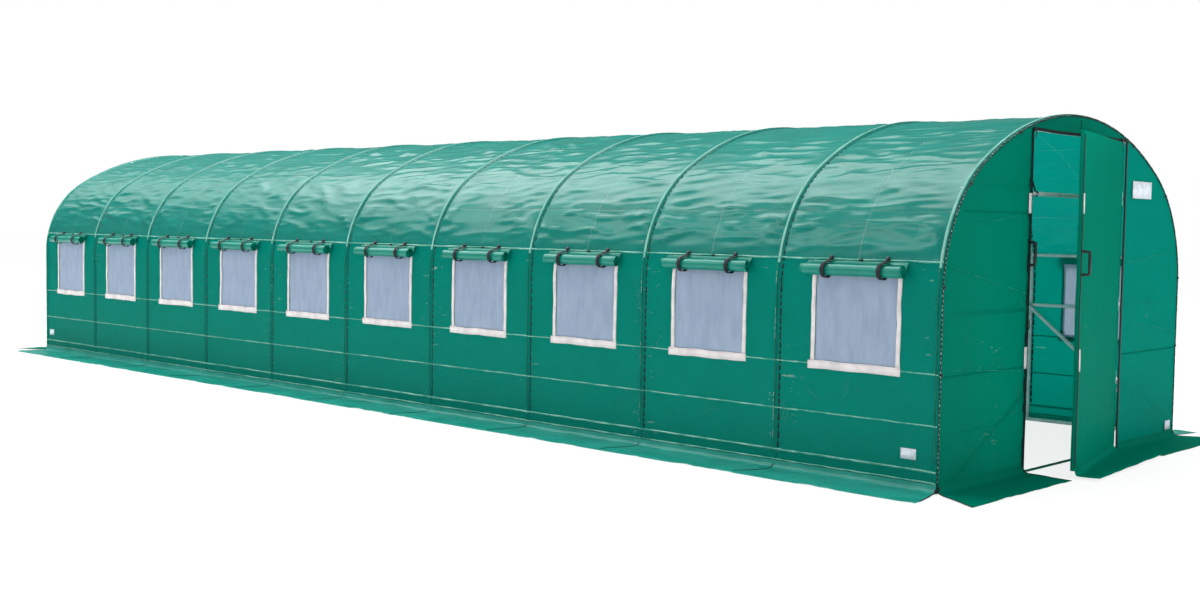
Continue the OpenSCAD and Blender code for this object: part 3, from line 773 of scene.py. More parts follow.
for side_name, side in SIDES.items():
    wall = f"wall_sheet_{side_name}"
    fittings, straps, cores = Batch(), Batch(), Batch()
    for i, x in enumerate(BAY_X):
        tag = f"{side_name}_{i + 1:02d}"
        # Mesh
        X, S = np.meshgrid(np.linspace(x - HALF_WINDOW - HIDDEN, x + HALF_WINDOW + HIDDEN, 22),
                           side * np.linspace(SILL_S + HIDDEN, HEAD_S - HIDDEN, 22), indexing="ij")
        lift = -0.0022 + 0.0012 * rough(X / 0.06, S / 0.3, 31 + i)
        cloth(f"window_net_{tag}", NET, over_cover(X, S, lift)[0], joined(X, np.abs(S)),
              (WINDOW_W + 2 * HIDDEN, WINDOW_TOP - WINDOW_SILL + 2 * HIDDEN), "stretched", [wall],
              [f"window_nets_{side_name}"], flip=side > 0)
        # Fastening tape: two upright strips and a wider one along the sill
        tape = Batch()
        run = np.linspace(HEAD_S - 0.01, SILL_S + 0.004, 20)
        for way in (-1, 1):
            xs = x + way * (HALF_WINDOW + TAPE_W * 0.42) + wander(run, 41 + 3 * i + way, 0.0028, 0.1)
            tape.ribbon(*over_cover(xs, side * run, 0.0006),
                        TAPE_W * (0.72 + wander(run, 51 + i, 0.08, 0.07)), 0.0016)
        xs = np.linspace(x - HALF_WINDOW - TAPE_W * 1.25, x + HALF_WINDOW + TAPE_W * 0.9, 26)
        sill_run = SILL_S + SILL_TAPE_W / 2 + wander(xs, 61 + i, 0.003, 0.11)
        tape.ribbon(*over_cover(xs, side * sill_run, 0.0024), SILL_TAPE_W, 0.0018)
        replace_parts(tape.piece(f"window_tape_{tag}", TAPE), f"window_tapes_{side_name}")
        # Flap rolled up over the window, with its lead up to the seam
        xs = np.linspace(x - ROLL_LEN / 2, x + ROLL_LEN / 2, 19)[:, None]
        droop = 0.0016 * rough(xs / 0.15, i, 71) - 0.001
        dents = 1 + 0.030 * rough(xs / 0.09, np.arange(len(reach)) / 5, 73 + i)
        slip = np.where(np.abs(xs - x) > ROLL_LEN / 2 - 0.03, 0.006 * np.sin(rolled * 30 + i), 0)
        flap = cloth(f"window_flap_{tag}", LIT_FLAP_CLOTH,
                     joined(xs + slip, side * (ROLL_Y + reach * dents), ROLL_Z + droop + rise * dents),
                     joined(xs, rolled), (ROLL_LEN, float(rolled[-1])), "gathered", [wall],
                     [f"window_rolls_{side_name}"], flip=side < 0)
        for way in (-1, 1):
            for size, back in ((ROLL_R - 0.0045, 0.0050), (0.011, 0.0035)):
                foot = (x + way * (ROLL_LEN / 2 - back - 0.004), side * ROLL_Y, ROLL_Z)
                cores.turned(foot, OUT[way], ((size, 0), (size, 0.0035), (size * 0.9, 0.004)), 20)
        # Fold of the cover that laps over the top of the roll
        xs = np.linspace(x - ROLL_LEN * 0.45, x + ROLL_LEN * 0.485, 24)
        over = ROLL_R + 0.0022 + 0.002 * rough(xs[:, None] / 0.08, np.arange(6) / 2, 81 + i)
        y, z = ROLL_Y + over * np.cos(HOOD_BEND), ROLL_Z + over * np.sin(HOOD_BEND)
        _, wall_y, wall_z = over_cover(xs, side * (SEAM_S + 0.006), 0.001)[0].T[..., None]
        y = np.concatenate([np.abs(wall_y), (np.abs(wall_y) + y[:, :1]) / 2 + 0.004, y], axis=1)
        z = np.concatenate([wall_z, (wall_z + z[:, :1]) / 2 + 0.003, z], axis=1)
        cloth(f"window_hood_{tag}", LIT_FLAP_CLOTH, joined(xs[:, None], side * y, z),
              joined(xs[:, None], np.arange(8) * 0.01), (ROLL_LEN * 0.935, 0.050), "draped",
              [flap.name], flip=side > 0)
        # Straps round the roll, each hung from a knob, and a toggle between them
        for place in STRAP_PLACES:
            straps.ribbon(joined(x + place, side * (ROLL_Y + strap_y), ROLL_Z + strap_z),
                          joined(0, side * strap_y, strap_z), STRAP_W, 0.0030)
            fittings.turned(*cover_spot(x + place, side * (SEAM_S - 0.006)), KNOB, 14)
        spot, out = cover_spot(x + 0.02, side * (SEAM_S + 0.002), 0.001)
        fittings.ribbon([spot - OUT[1] * 0.011, spot + OUT[1] * 0.011], out, 0.009, 0.012)
    cores.piece(f"window_roll_ends_{side_name}", END_CLOTH, "cover_green")
    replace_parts(straps.piece(f"flap_straps_{side_name}", WEBBING), f"roll_straps_{side_name}")
    fittings.piece(f"flap_knobs_{side_name}", PLASTIC)

# ---------------------------------------------------------------- end walls


def near_line(y, z, start, end, width):
    """1 on a straight line between two (y, z) points, fading to 0 beside it."""
    d = np.array(end) - np.array(start)
    t = np.clip(((y - start[0]) * d[0] + (z - start[1]) * d[1]) / (d @ d), 0, 1)
    off = np.hypot(y - start[0] - t * d[0], z - start[1] - t * d[1])
    return np.exp(-(off / width) ** 2)


def end_bulge(y, z, seed):
    """How far an end sheet stands out of its plane: slack cloth that shows the tubes behind it."""
    slack = 0.0028 * rough(y / 0.33, z / 0.5, seed) + 0.0012 * rough(y / 0.10, z / 0.16, seed + 1)
    slack = slack + 0.0022 * ridge(y / 0.55 + z / 0.9, z / 0.22 - y / 0.5, seed + 2, 4)
    tubes = 0
    for side in (-1, 1):
        tubes = tubes + 0.6 * (
            near_line(y, z, (side * POST_Y, END_RAIL_Z), (side * 1.47, END_RAIL_Z), 0.016)
            + near_line(y, z, (side * POST_Y, BRACE_TOP_Z), (side * 1.42, 0.03), 0.016))
    tubes = tubes + near_line(y, z, (-1.23, CROSS_TUBE_Z), (-POST_Y, CROSS_TUBE_Z), 0.012) * 0.5
    return -0.0025 + slack + 0.0035 * np.clip(tubes, 0, 1)


# Creases of the end sheets, each (y, z, y, z)
LEFT_CREASES = ((-1.45, 1.15, -0.5, 0.97), (-0.89, 1.03, -0.44, 0.85), (-1.40, 0.62, -0.60, 0.57),
                (-1.35, 0.30, -0.62, 0.36), (-1.2, 1.36, -0.7, 1.42))
RIGHT_CREASES = ((0.78, 0.79, 1.5, 0.69), (0.79, 0.40, 1.5, 0.115), (0.82, 0.26, 1.14, 0.20),
                 (0.66, 1.15, 1.40, 1.22))
REAR_DOOR_CREASES = ((-0.5, 0.62, 0.45, 0.56),)


def creased(y, z, creases):
    lines = [near_line(y, z, (y0, z0), (y1, z1), 0.009) for y0, z0, y1, z1 in creases]
    return 0.006 * np.max(lines, axis=0, initial=0)


def outline_top(y):
    """Height of the arch at y."""
    a = np.abs(y)
    crown = CROWN_Z + np.sqrt(CROWN_R ** 2 - a ** 2)
    shoulder = LEG + np.sqrt(np.maximum(SHOULDER_R ** 2 - (a - SHOULDER_Y) ** 2, 0))
    return np.where(a <= CROWN_R * math.sin(CROWN_TILT), crown, shoulder)


def end_columns(y0, y1, step=0.016):
    """Columns from y0 to y1, close together where the arch is steep."""
    far = HALF_W - 0.0006
    tilt = np.linspace(0, math.pi / 2, 46)
    steep = SHOULDER_Y + SHOULDER_R * np.cos(tilt[tilt < math.pi / 2 - CROWN_TILT])
    steep[0] = far
    flat = np.arange(0, steep[-1] - step * 0.4, step)
    both = np.unique(np.round(np.concatenate([-steep, -flat, flat, steep]), 6))
    inside = both[(both > y0 + step * 0.3) & (both < y1 - step * 0.3)]
    return np.concatenate([[max(y0, -far)], inside, [min(y1, far)]])


def end_sheet(name, finish, y0, y1, z0, z1, creases, seed, facing, node):
    """A flat sheet across one end, cut to the arch."""
    ys = end_columns(y0, y1)[:, None]
    tops = np.minimum(outline_top(ys), z1)
    Z = z0 + (tops - z0) * np.linspace(0, 1, 70)
    rim = ease((outline_top(ys) - Z) / 0.06) * ease((HALF_W - np.abs(ys)) / 0.05)
    out = np.maximum(end_bulge(ys, Z, seed) * rim + creased(ys, Z, creases), -0.0012)
    flat = (float(np.ptp(ys)), float(tops.max() - z0))
    cells = np.diff(ys, axis=0) * (np.diff(Z[1:]) + np.diff(Z[:-1])) / 2
    cloth(name, finish, joined(facing * (FRONT_X + out), ys, Z), joined(ys, Z), flat, "stretched",
          FRAME_ENDS[facing], [node], area=min(float(cells.sum()), flat[0] * flat[1]), flip=facing < 0)


def crease_highlight_lines(batch, creases, seed, facing):
    """Painted highlights: pale lines along the creases of an end sheet, broken here and there."""
    for y0, z0, y1, z1 in creases:
        reach = math.hypot(y1 - y0, z1 - z0)
        at = 0.02
        while at < reach - 0.03:
            run = np.linspace(at, min(at + draw(0.03, 0.16), reach - 0.01), 5)
            y, z = y0 + (y1 - y0) * run / reach, z0 + (z1 - z0) * run / reach
            out = np.maximum(end_bulge(y, z, seed) + creased(y, z, creases), 0) + 0.0004
            batch.ribbon(joined(facing * (FRONT_X + out), y, z), OUT[facing], draw(0.0010, 0.0028), 0.0007)
            at = run[-1] + draw(0.006, 0.06)


FRAME_ENDS = {1: ["hoop_11", "front_door_frame"], -1: ["hoop_01", "rear_door_frame"]}
TO_ARCH = math.inf
crease_highlights = {1: Batch(), -1: Batch()}
for name, y0, y1, z0, z1, creases, facing, node in (
        ("front_sheet_left", -HALF_W, PANEL_EDGE_LEFT, CLEAR, TO_ARCH, LEFT_CREASES, 1, "front_panel_left"),
        ("front_sheet_right", PANEL_EDGE_RIGHT, HALF_W, CLEAR, TO_ARCH, RIGHT_CREASES, 1,
         "front_panel_right"),
        ("front_header_sheet", PANEL_EDGE_LEFT, PANEL_EDGE_RIGHT, HEADER_Z, TO_ARCH, (), 1, "front_header"),
        ("rear_sheet_left", -HALF_W, -POST_Y, CLEAR, TO_ARCH, RIGHT_CREASES, -1, "rear_wall"),
        ("rear_sheet_right", POST_Y, HALF_W, CLEAR, TO_ARCH, RIGHT_CREASES, -1, "rear_wall"),
        ("rear_header_sheet", -POST_Y, POST_Y, HEADER_Z, TO_ARCH, (), -1, "rear_wall"),
        ("rear_door_sheet", -POST_Y, POST_Y, CLEAR, HEADER_Z, REAR_DOOR_CREASES, -1, "rear_door")):
    seed = len(name) * 7 + facing
    finish = LIT_END_CLOTH if name == "front_sheet_right" else END_CLOTH
    end_sheet(name, finish, y0, y1, z0, z1, creases, seed, facing, node)
    here = [c for c in creases if y0 < (c[0] + c[2]) / 2 < y1]
    crease_highlight_lines(crease_highlights[facing], here, seed, facing)
for end_name, facing in ENDS.items():
    crease_highlights[facing].piece(f"{end_name}_crease_highlight_lines", CREASE_HIGHLIGHT)

# Piped, zipped edge all round each end, with pale stitches
for end_name, facing in ENDS.items():
    tape, stitch = Batch(), Batch()
    s = np.linspace(-ARCH_LEN + 0.01, ARCH_LEN - 0.01, 300)
    y, z, _, _ = arch(s, wander(s, 91, 0.0015, 0.08) - 0.004)
    tape.ribbon(joined(facing * (COVER_END - 0.0005), y, z), OUT[facing], 0.009, 0.0028)
    for at in np.arange(-ARCH_LEN + 0.06, ARCH_LEN - 0.06, 0.024):
        run = draw(0.006, 0.013)
        y, z, _, _ = arch(np.array([at, at + run]), RANDOM.choice([-0.0035, 0.0005]))
        stitch.ribbon(joined(facing * (COVER_END + 0.0018), y, z), OUT[facing], 0.0028, 0.0014)
    tape.piece(f"{end_name}_arch_zip", ZIP)
    stitch.piece(f"{end_name}_arch_stitches", THREAD_AND_HIGHLIGHT)

TOOTH_PITCH = 0.007
ZIP_FOOT = 0.02


def zip_run(tape, teeth, path, out, width=0.016):
    """Zip tape along a path with its row of teeth."""
    tape.ribbon(path, out, width, 0.0016)
    run = run_along(path)
    for at in np.arange(TOOTH_PITCH, run[-1] - TOOTH_PITCH, TOOTH_PITCH):
        here, ahead = (np.array([np.interp(a, run, path[:, k]) for k in range(3)]) for a in (at, at + 1e-3))
        side = np.cross(ahead - here, out)
        side = side / np.linalg.norm(side) * 0.0032
        middle = here + out * 0.0012
        teeth.ribbon([middle - side, middle + side], out, TOOTH_PITCH * 0.55, 0.0016)


def slider(batch, at, out):
    """Zip slider with its hanging pull."""
    batch.ribbon([at - UP * fall for fall in (0, 0.008, 0.018, 0.022)], out,
                 [0.014, 0.017, 0.015, 0.008], 0.008)
    batch.ribbon([at - UP * fall + out * lift for fall, lift in ((0.016, 0.008), (0.034, 0.011),
                                                                 (0.056, 0.006))],
                 out, [0.006, 0.008, 0.010], 0.0025)


# Zips up both sides of each doorway and along its lintel; x is where they lie, edges (y, top)
for end_name, facing in ENDS.items():
    tape, teeth, pulls = Batch(), Batch(), Batch()
    x = facing * (COVER_END + 0.0012)
    if facing > 0:
        lintel = (PANEL_EDGE_LEFT, PANEL_EDGE_RIGHT)
        edges = ((PANEL_EDGE_LEFT - 0.006, HEADER_Z + 0.01),
                 (PANEL_EDGE_RIGHT + 0.010, float(outline_top(PANEL_EDGE_RIGHT)) - 0.02))
    else:
        lintel = (-POST_Y, POST_Y)
        edges = ((-POST_Y, HEADER_Z), (POST_Y, HEADER_Z))
    for y, top in edges:
        zs = np.linspace(ZIP_FOOT, top, 60)
        zip_run(tape, teeth, joined(x, y + wander(zs, 95, 0.002, 0.2), zs), OUT[facing], 0.021)
    ys = np.linspace(*lintel, 40)
    zip_run(tape, teeth, joined(x, ys, HEADER_Z + 0.004 + wander(ys, 97, 0.003, 0.25)), OUT[facing])
    over_door = [(y, HEADER_Z + 0.014) for y in (lintel[0] + 0.006, 0.03, lintel[1] - 0.075)]
    y, top = edges[0]
    for slider_y, z in over_door + [(y, 0.85)]:
        slider(pulls, np.array([x + facing * 0.001, slider_y, z]), OUT[facing])
    # Bunched tape, here and there up the first edge
    at = ZIP_FOOT + 0.12
    while at < top - 0.1:
        zs = np.linspace(at, at + draw(0.025, 0.11), 6)
        path = joined(x, y - 0.009 + wander(zs, 99, 0.002, 0.1), zs)
        tape.ribbon(path, OUT[facing], draw(0.018, 0.026), 0.0040)
        at = zs[-1] + draw(0.05, 0.3)
    tape.piece(f"{end_name}_zip_tape", ZIP)
    teeth.piece(f"{end_name}_zip_teeth", PLASTIC, smooth=False)
    pulls.piece(f"{end_name}_zip_sliders", PLASTIC)

# ---------------------------------------------------------------- door flap

# Made as if its post stood at 0, 0 and it hung shut along -Y, then turned to where it rests
ON_DOOR = {"body": "door_flap", "turn": Matrix.Translation(HINGE) @ Matrix.Rotation(AJAR, 4, "Z")}
FLAP_OUT = TUBE_R + 0.0003 + 0.0015
FLAP_FOOT = DOOR_LIFT + 0.03
NOTCHES = (BRACE_TOP_Z, END_RAIL_Z, CROSS_TUBE_Z)
NOTCH_HALF = 0.04
HEM = 0.021
PATCH_HEIGHTS = ((0.58, 0.70), (1.43, 1.54))


def flap_bulge(run, z):
    """How far the hanging flap stands out: soft upright folds that fade towards the post."""
    lazy = 0.006 * rough(run / 0.30, z / 1.3, 101) + 0.003 * rough(run / 0.12, z / 0.6, 103)
    return (lazy + 0.003 * ridge(run / 0.5 - z / 1.1, z / 0.5, 107, 4)) * ease(run / 0.25)


def on_flap(run, zs, lift):
    """Points lift metres out from the flap, run metres from its post."""
    return joined(FLAP_OUT + flap_bulge(run, zs) + lift, -run, zs)


# The flap wraps a quarter of the way round its post, hangs flat, and turns in at its free edge
wrap = np.radians(np.linspace(200, 0, 13))[:-1]
runs = np.concatenate([np.arange(0, DOOR_LEN - 0.006, 0.016), [DOOR_LEN - 0.004]])
corner_x = np.array([-0.0015, -0.006, -0.013, -HEM])
corner_y = np.array([0.001, 0, 0, 0.001]) - DOOR_LEN
zs = np.unique(np.concatenate([np.linspace(FLAP_FOOT, DOOR_TOP, 84),
                               [n + w * NOTCH_HALF for n in NOTCHES for w in (-1, 1)]]))
flat_x = FLAP_OUT + flap_bulge(runs[:, None], zs)
X = np.concatenate([FLAP_OUT * np.cos(wrap)[:, None] + 0 * zs, flat_x, flat_x[-1] + corner_x[:, None]])
Y = np.concatenate([FLAP_OUT * np.sin(wrap), -runs, corner_y])
in_notch = np.min([np.abs((zs[:-1] + zs[1:]) / 2 - n) for n in NOTCHES], axis=0) < NOTCH_HALF
by_post = ((Y[:-1] + Y[1:]) / 2 > -0.024) & (np.arange(len(Y) - 1) < len(wrap) + 4)
run = run_along(joined(X[:, 0], Y))
cloth("door_flap_sheet", END_CLOTH, joined(X, Y[:, None], zs), joined(run[:, None], zs),
      (float(run[-1]), DOOR_TOP - FLAP_FOOT), "hung", ["front_door_frame"], ["front_door"],
      keep=~(by_post[:, None] & in_notch), **ON_DOOR)

# Skirt of the flap, turned out from its foot
share = np.array([0, 0.02, 0.06, 0.12, 0.2, 0.32, 0.45, 0.6, 0.75, 0.9, 1.0])
drop = np.array([0.046, 0.031, 0.019, 0.0145, 0.0125, 0.012, 0.012, 0.0118, 0.0115, 0.0112, 0.011])
ys = np.linspace(0.03, DOOR_LEN - 0.004, 60)[:, None]
reach = np.interp(ys, [0.03, DOOR_LEN], [0.295, 0.134]) * share
X = FLAP_OUT + 0.0012 + reach + flap_bulge(ys, FLAP_FOOT) * (1 - share)
Z = drop + 0.003 * share * (1 + rough(ys / 0.16, share * 2, 111))
cloth("door_skirt_sheet", END_CLOTH, joined(X, -ys, Z), joined(ys, reach), (1.14, 0.25), "hung",
      ["door_flap_sheet"], flip=True, **ON_DOOR)

# Zip, fastening patches and a stitched line beside the post on the flap
tape, teeth, marks, patches = Batch(), Batch(), Batch(), Batch()
zip_run(tape, teeth, on_flap(DOOR_LEN - 0.01, np.linspace(DOOR_LIFT + 0.05, DOOR_TOP - 0.02, 60), 0.0012),
        OUT[1])
for z0, z1 in PATCH_HEIGHTS:
    line = on_flap(DOOR_LEN - 0.03, np.linspace(z0, z1, 5), 0.0032) - [0, 0.010, 0]
    patches.ribbon(line, OUT[1], 0.030, 0.0022)
for at in np.arange(0.05, DOOR_TOP - 0.05, 0.034):
    if min(abs(at - n) for n in NOTCHES) > NOTCH_HALF + 0.02:
        marks.ribbon(on_flap(0.045, np.array([at, at + 0.016]), 0.0004), OUT[1], 0.0035, 0.0016)
tape.piece("door_zip_tape", ZIP, **ON_DOOR)
teeth.piece("door_zip_teeth", PLASTIC, **ON_DOOR, smooth=False)
marks.piece("door_hinge_stitches", ZIP, **ON_DOOR)
patches.piece("door_patches", TAPE, **ON_DOOR)

# ---------------------------------------------------------------- skirts on the ground

SKIRT_TURN = [0, 0.012, 0.035, 0.07, 0.12]
SKIRT_SHARES = np.concatenate([SKIRT_TURN, np.linspace(0.2, 1, 11)])
SKIRT_DROP = np.interp(SKIRT_SHARES, SKIRT_TURN + [0.2, 1],
                       [SKIRT_RISE, 0.6 * SKIRT_RISE, 0.014, 0.007, 0.004, 0.003, 0.0012])


def skirt(name, finish, node, ends, seed, wall, waves, steps):
    """A strip turned out over the ground from low on a wall. ends are those of its inner edge,
    then those of its outer edge, each (x, y)."""
    inner, outer = np.linspace(*ends[:2], steps), np.linspace(*ends[2:], steps)
    length = run_along(outer)[:, None]
    share = SKIRT_SHARES
    ragged = 1 + 0.012 * rough(length / 0.22, 0, seed)
    at = inner[:, None] + (outer - inner)[:, None] * (share * ragged)[..., None]
    lift = waves * share ** 0.6 * np.clip(
        rough(length / 0.21, share * 1.4, seed + 1)
        + 0.5 * rough(length / 0.07 + share, share * 2.2, seed + 2), 0, 1)
    near = waves * 0.9 * ease(share / 0.05) * ease((0.5 - share) / 0.4) * np.clip(
        rough(length / 0.12, share * 5, seed + 3), 0, 1)
    points = joined(at[..., 0], at[..., 1], SKIRT_DROP + lift + near)
    width = float(np.linalg.norm(outer - inner, axis=1).mean()) + SKIRT_RISE
    longest = float(max(length[-1, 0], np.linalg.norm(inner[-1] - inner[0])))
    made = cloth(name, finish, points, joined(length, share * 0.3), (longest, width), "laid", [wall], [node])
    if made.data.polygons[len(made.data.polygons) // 2].normal.z < 0:
        made.data.flip_normals()
    return points


WALL_FOOT = HALF_W + 0.0036
END_FOOT = HALF_L + 0.0036
SKIRT_STEPS = 400
ON_SKIRT = UP * 0.0006
laps, edging = Batch(), Batch()
for side_name, side in SIDES.items():
    foot, out = side * WALL_FOOT, side * SKIRT_OUT
    points = skirt(f"skirt_sheet_{side_name}", LIT_SKIRT_CLOTH, f"skirt_{side_name}",
                   ((-HALF_L, foot), (HALF_L, foot), (-SKIRT_END, out), (SKIRT_END, out)),
                   121 + side, f"wall_sheet_{side_name}", 0.009, SKIRT_STEPS)
    # A dark lap line curves over the skirt from the foot of each hoop
    t = np.linspace(0.02, 1, 14)
    row = 1 + 12 * t
    r0 = np.minimum(row.astype(int), 12)
    fr = (row - r0)[:, None]
    for i, x in enumerate(HOOP_X):
        at_end = i in (0, BAYS)
        along = i / BAYS + 0 * t if at_end else (x - 0.13 * t ** 1.6 + HALF_L) / (2 * HALF_L)
        col = np.clip(along * (SKIRT_STEPS - 1), 0, SKIRT_STEPS - 1.001)
        c0 = col.astype(int)
        fc = (col - c0)[:, None]
        spot = ((points[c0, r0] * (1 - fc) + points[c0 + 1, r0] * fc) * (1 - fr)
                + (points[c0, r0 + 1] * (1 - fc) + points[c0 + 1, r0 + 1] * fc) * fr)
        laps.ribbon(spot + ON_SKIRT, UP, 0.009 if at_end else 0.006, 0.0016)
for name, node, facing, a, b, a_out, b_out, waves in (
        ("front_skirt_sheet_left", "front_skirt_left", 1, -HALF_W, -0.59, -END_SKIRT_SPLAY, -0.61, 0.006),
        ("front_skirt_sheet_right", "front_skirt_right", 1, PANEL_EDGE_RIGHT, HALF_W, PANEL_EDGE_RIGHT,
         END_SKIRT_SPLAY, 0.003),
        ("rear_skirt_sheet", "rear_skirt", -1, -HALF_W, HALF_W, -END_SKIRT_SPLAY, END_SKIRT_SPLAY, 0.006)):
    foot, out = facing * END_FOOT, facing * END_SKIRT_OUT
    points = skirt(name, END_CLOTH, node, ((foot, a), (foot, b), (out, a_out), (out, b_out)),
                   131 + len(name), "front_sheet_left" if facing > 0 else "rear_sheet_left", waves,
                   int(abs(b_out - a_out) / 0.028))
    for column in (0, -1):
        edging.ribbon(points[column, 1:] + ON_SKIRT, UP, 0.010, 0.0018)
laps.piece("skirt_lap_lines", ZIP)
edging.piece("skirt_edgings", ZIP)

# ---------------------------------------------------------------- small fittings

labels, patches, bolts, ties = Batch(), Batch(), Batch(), Batch()
for y0, y1, z0, z1 in ((0.73, 1.01, 1.545, 1.65), (1.36, 1.44, 0.055, 0.115)):
    line = joined(COVER_END + 0.004, np.linspace(y0, y1, 8), (z0 + z1) / 2)
    labels.ribbon(line, OUT[1], z1 - z0, 0.0014)
for x, side in ((4.83, -1), (-4.9, -1), (4.83, 1)):
    xs = np.linspace(x - 0.045, x + 0.045, 6)
    labels.ribbon(*over_cover(xs, side * arch_s(0.185), 0.0014), 0.055, 0.0014)
for z0, z1 in PATCH_HEIGHTS:
    line = joined(COVER_END + 0.0032, PANEL_EDGE_LEFT - 0.022, np.linspace(z0, z1, 5))
    patches.ribbon(line, OUT[1], 0.032, 0.0022)
BOLT = ((0.009, 0), (0.010, 0.003), (0.007, 0.006), (0.006, 0.010), (0.002, 0.011))
for side in (-1, 1):
    for facing in (-1, 1):
        for s in (arch_s(0.60), arch_s(0.03), 1.35, 0.75, 1.95):
            y, z, _, _ = arch(side * s, -0.010)
            bolts.turned((facing * (COVER_END - 0.001), y, z), OUT[facing], BOLT)
# Strap that ties the corner of the flap's opening back to the cross tube
TIE_R = 0.0145
loop_at = np.array([HOOP_X[-1] - 2 * TUBE_R, -0.46, CROSS_TUBE_Z])
post = np.array([HALF_L - 0.028, -POST_Y + 0.02, 1.72])
t = np.linspace(0, 1, 12)[:, None]
for start, end in ((post, loop_at + UP * 0.016),
                   (post - UP * 0.005, np.array([loop_at[0], -POST_Y + 0.05, CROSS_TUBE_Z + 0.016]))):
    ties.ribbon(start + (end - start) * t - UP * 0.012 * np.sin(np.pi * t), OUT[1], 0.016, 0.0018)
turn = np.radians(np.linspace(0, 330, 22))
loop = joined(TIE_R * np.cos(turn), 0, TIE_R * np.sin(turn))
ties.ribbon(loop_at + loop, loop, 0.018, 0.0018)
labels.piece("blank_patches", LABEL)
patches.piece("panel_patches", TAPE)
bolts.piece("eyelet_bolts", PLASTIC)
ties.piece("door_tie", WEBBING)

# Cloth sleeve over the middle of the sill bar, from its section of (x, z) points
ys = np.linspace(-0.56, 0.57, 70)[:, None]
dx, z = np.transpose(((-0.0125, 0.0022), (-0.0125, 0.0058), (0.0, 0.0066), (0.0125, 0.0058),
                      (0.0142, 0.0022)))
cloth("sill_sleeve", END_CLOTH, joined(HOOP_X[-1] + dx, ys, z + 0.0012 * rough(ys / 0.08, 0, 141)),
      joined(ys, np.arange(5) * 0.01), (1.13, 0.035), "folded", ["front_door_frame"], flip=True)

# Dotted seam down the middle of the header, and seams across the end panels
seams, dots = Batch(), Batch()
for z in np.arange(HEADER_Z + 0.02, TOP - 0.03, 0.018):
    dots.ribbon(joined(COVER_END + 0.0008, 0, np.array([z, z + 0.010])), OUT[1], 0.006, 0.0018)
dz, dx = np.transpose(((-0.004, -0.002), (-0.002, 0.0016), (0, 0.0024), (0.002, 0.0016), (0.004, -0.002)))
for facing, y0, y1, z in ((1, -1.30, -0.60, 1.43), (1, -1.49, -0.60, 0.59), (1, 0.66, 1.49, 0.59),
                          (-1, -1.49, 1.49, 0.59), (-1, -1.30, 1.30, 1.43)):
    ys = np.linspace(y0, y1, int((y1 - y0) / 0.02))[:, None]
    points = joined(facing * (FRONT_X + 0.0022 + dx), ys, z + dz + wander(ys, 151, 0.0015, 0.2))
    seams.grid(points, joined(ys, np.arange(5) * 0.002), flip=facing < 0)
seams.piece("end_seams", END_CLOTH)
dots.piece("header_dots", ZIP)

# Grips on the two handles
GRIP_R = 0.0082
BAR_R = 0.0045
HALF_GRIP = 0.130 / 2 - BAR_R
GRIP = ((0.0058, 0), (GRIP_R, 0.006), (GRIP_R, 2 * HALF_GRIP - 0.006), (0.0058, 2 * HALF_GRIP))
GRIP_FOOT = ((0.0070, 0), (0.0064, 0.010), (0.0062, 0.034), (0.0045, 0.038))
for handle, body in (("wall_handle", "tunnel"), ("door_handle", "door_flap")):
    low, high = (np.array(c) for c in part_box(handle))
    centre = np.array([high[0] - BAR_R, high[1] - BAR_R, (low[2] + high[2]) / 2])
    out = np.array([math.cos(AJAR), math.sin(AJAR), 0])
    if body == "tunnel":
        centre[1] = (low[1] + high[1]) / 2
        out = OUT[1]
    batch = Batch()
    batch.turned(centre - UP * HALF_GRIP, UP, GRIP, 16)
    for way in (-1, 1):
        batch.turned(centre + UP * way * HALF_GRIP - out * 0.034, out, GRIP_FOOT, 14)
    batch.piece(f"{handle}_sleeve", PLASTIC, body=body)

# ---------------------------------------------------------------- carried-over frame parts

for name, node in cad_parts.items():
    if not node.hide_render:
        finish = PLASTIC if name.endswith("handle") else STEEL
        node.data.materials.clear()
        node.data.materials.append(finish.material)

# ---------------------------------------------------------------- floor and light

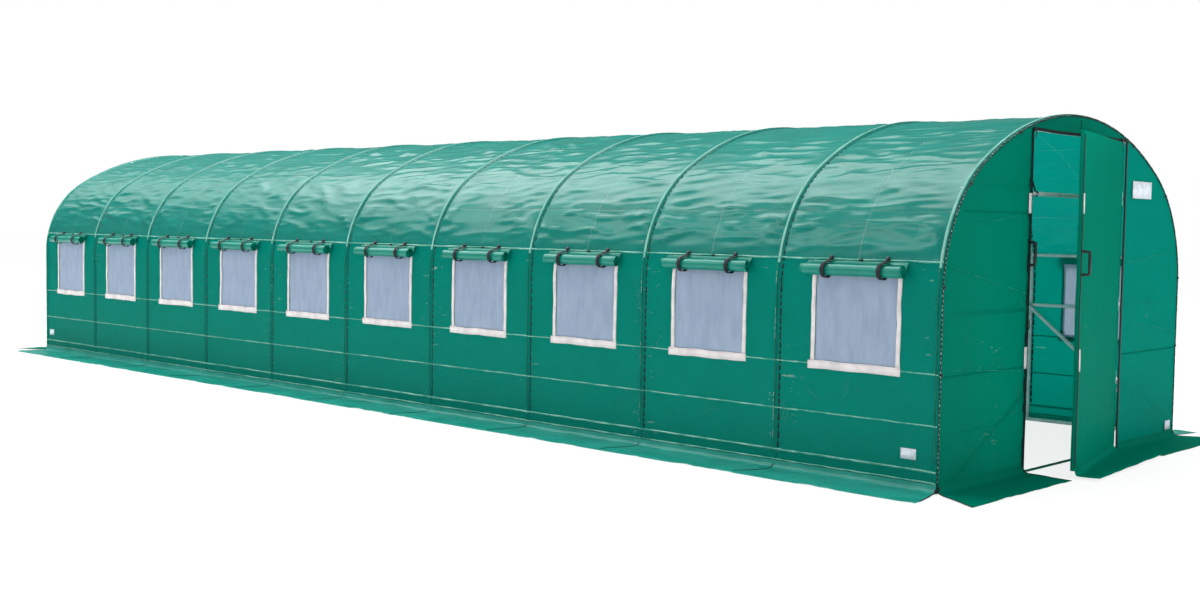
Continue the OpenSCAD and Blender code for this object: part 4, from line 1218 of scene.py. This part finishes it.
ground = Finish("pale_floor", None, roughness=0.9, specular_ior_level=0.0)
ground.put(base_color=ground.node("ShaderNodeMix", {"data_type": "RGBA"},
                                  {0: ground.noise(ground.solid_place(), 3.0, 3, 0.5),
                                   6: (0.92, 0.92, 0.92, 1), 7: (0.95, 0.95, 0.95, 1)}, 2))
looked_at = ground.node("ShaderNodeLightPath", out="Is Camera Ray")
glow = ground.node("ShaderNodeEmission", None, {"Strength": 1.0})
ground.show(ground.node("ShaderNodeMixShader", None, {0: looked_at * 0.8, 1: ground.surface, 2: glow}))
bpy.ops.mesh.primitive_plane_add(size=160, location=(0, 0, -0.001))
floor = bpy.context.object
floor.name = "floor"
floor.data.materials.append(ground.material)

world = bpy.data.worlds.new("studio")
bpy.context.scene.world = world
world.use_nodes = True
tree = world.node_tree
tree.nodes.clear()


def sky(strength):
    return add_node(tree, "ShaderNodeBackground", None, {"Color": (1, 1, 1, 1), "Strength": strength})


def ray(kind):
    return add_node(tree, "ShaderNodeLightPath", out=kind)


soft = add_node(tree, "ShaderNodeMixShader", None, {0: ray("Is Glossy Ray"), 1: sky(1.0), 2: sky(0.3)})
blend = add_node(tree, "ShaderNodeMixShader", None,
                 {0: ray("Is Camera Ray") + ray("Is Transmission Ray"), 1: soft, 2: sky(1.0)})
fill(tree, tree.nodes.new("ShaderNodeOutputWorld").inputs[0], blend)


def lamp(name, at, towards, size, power, mirrored=True, spread=True):
    """A panel of light, which may be kept out of mirrored or of spread light."""
    data = bpy.data.lights.new(name, "AREA")
    data.shape = "RECTANGLE"
    data.size, data.size_y = size
    data.energy = power
    made = bpy.data.objects.new(name, data)
    bpy.context.scene.collection.objects.link(made)
    made.visible_glossy = mirrored
    made.visible_diffuse = spread
    made.location = at
    made.rotation_euler = (Vector(towards) - Vector(at)).to_track_quat("-Z", "Y").to_euler()


lamp("sky_panel", (-4.0, -0.5, 9.5), (-4.0, -0.5, 0.0), (16, 7), 2100)
lamp("side_panel", (-4.0, -7.5, 7.5), (-1.0, -1.0, 1.5), (14, 2.6), 480, spread=False)
lamp("far_panel", (-18.0, -0.5, 9.5), (-18.0, -0.5, 0.0), (12, 7), 560)
lamp("door_panel", (11.0, 1.0, 5.0), (5.0, 0.6, 1.0), (4, 4), 150, mirrored=False)
lamp("back_panel", (2.0, 9.0, 3.0), (3.5, 1.5, 1.0), (6, 4), 450, mirrored=False)
lamp("inner_panel", (3.7, -1.1, 0.55), (4.3, 1.3, 0.9), (0.7, 0.5), 14, mirrored=False)
bpy.context.scene.view_settings.view_transform = "Standard"
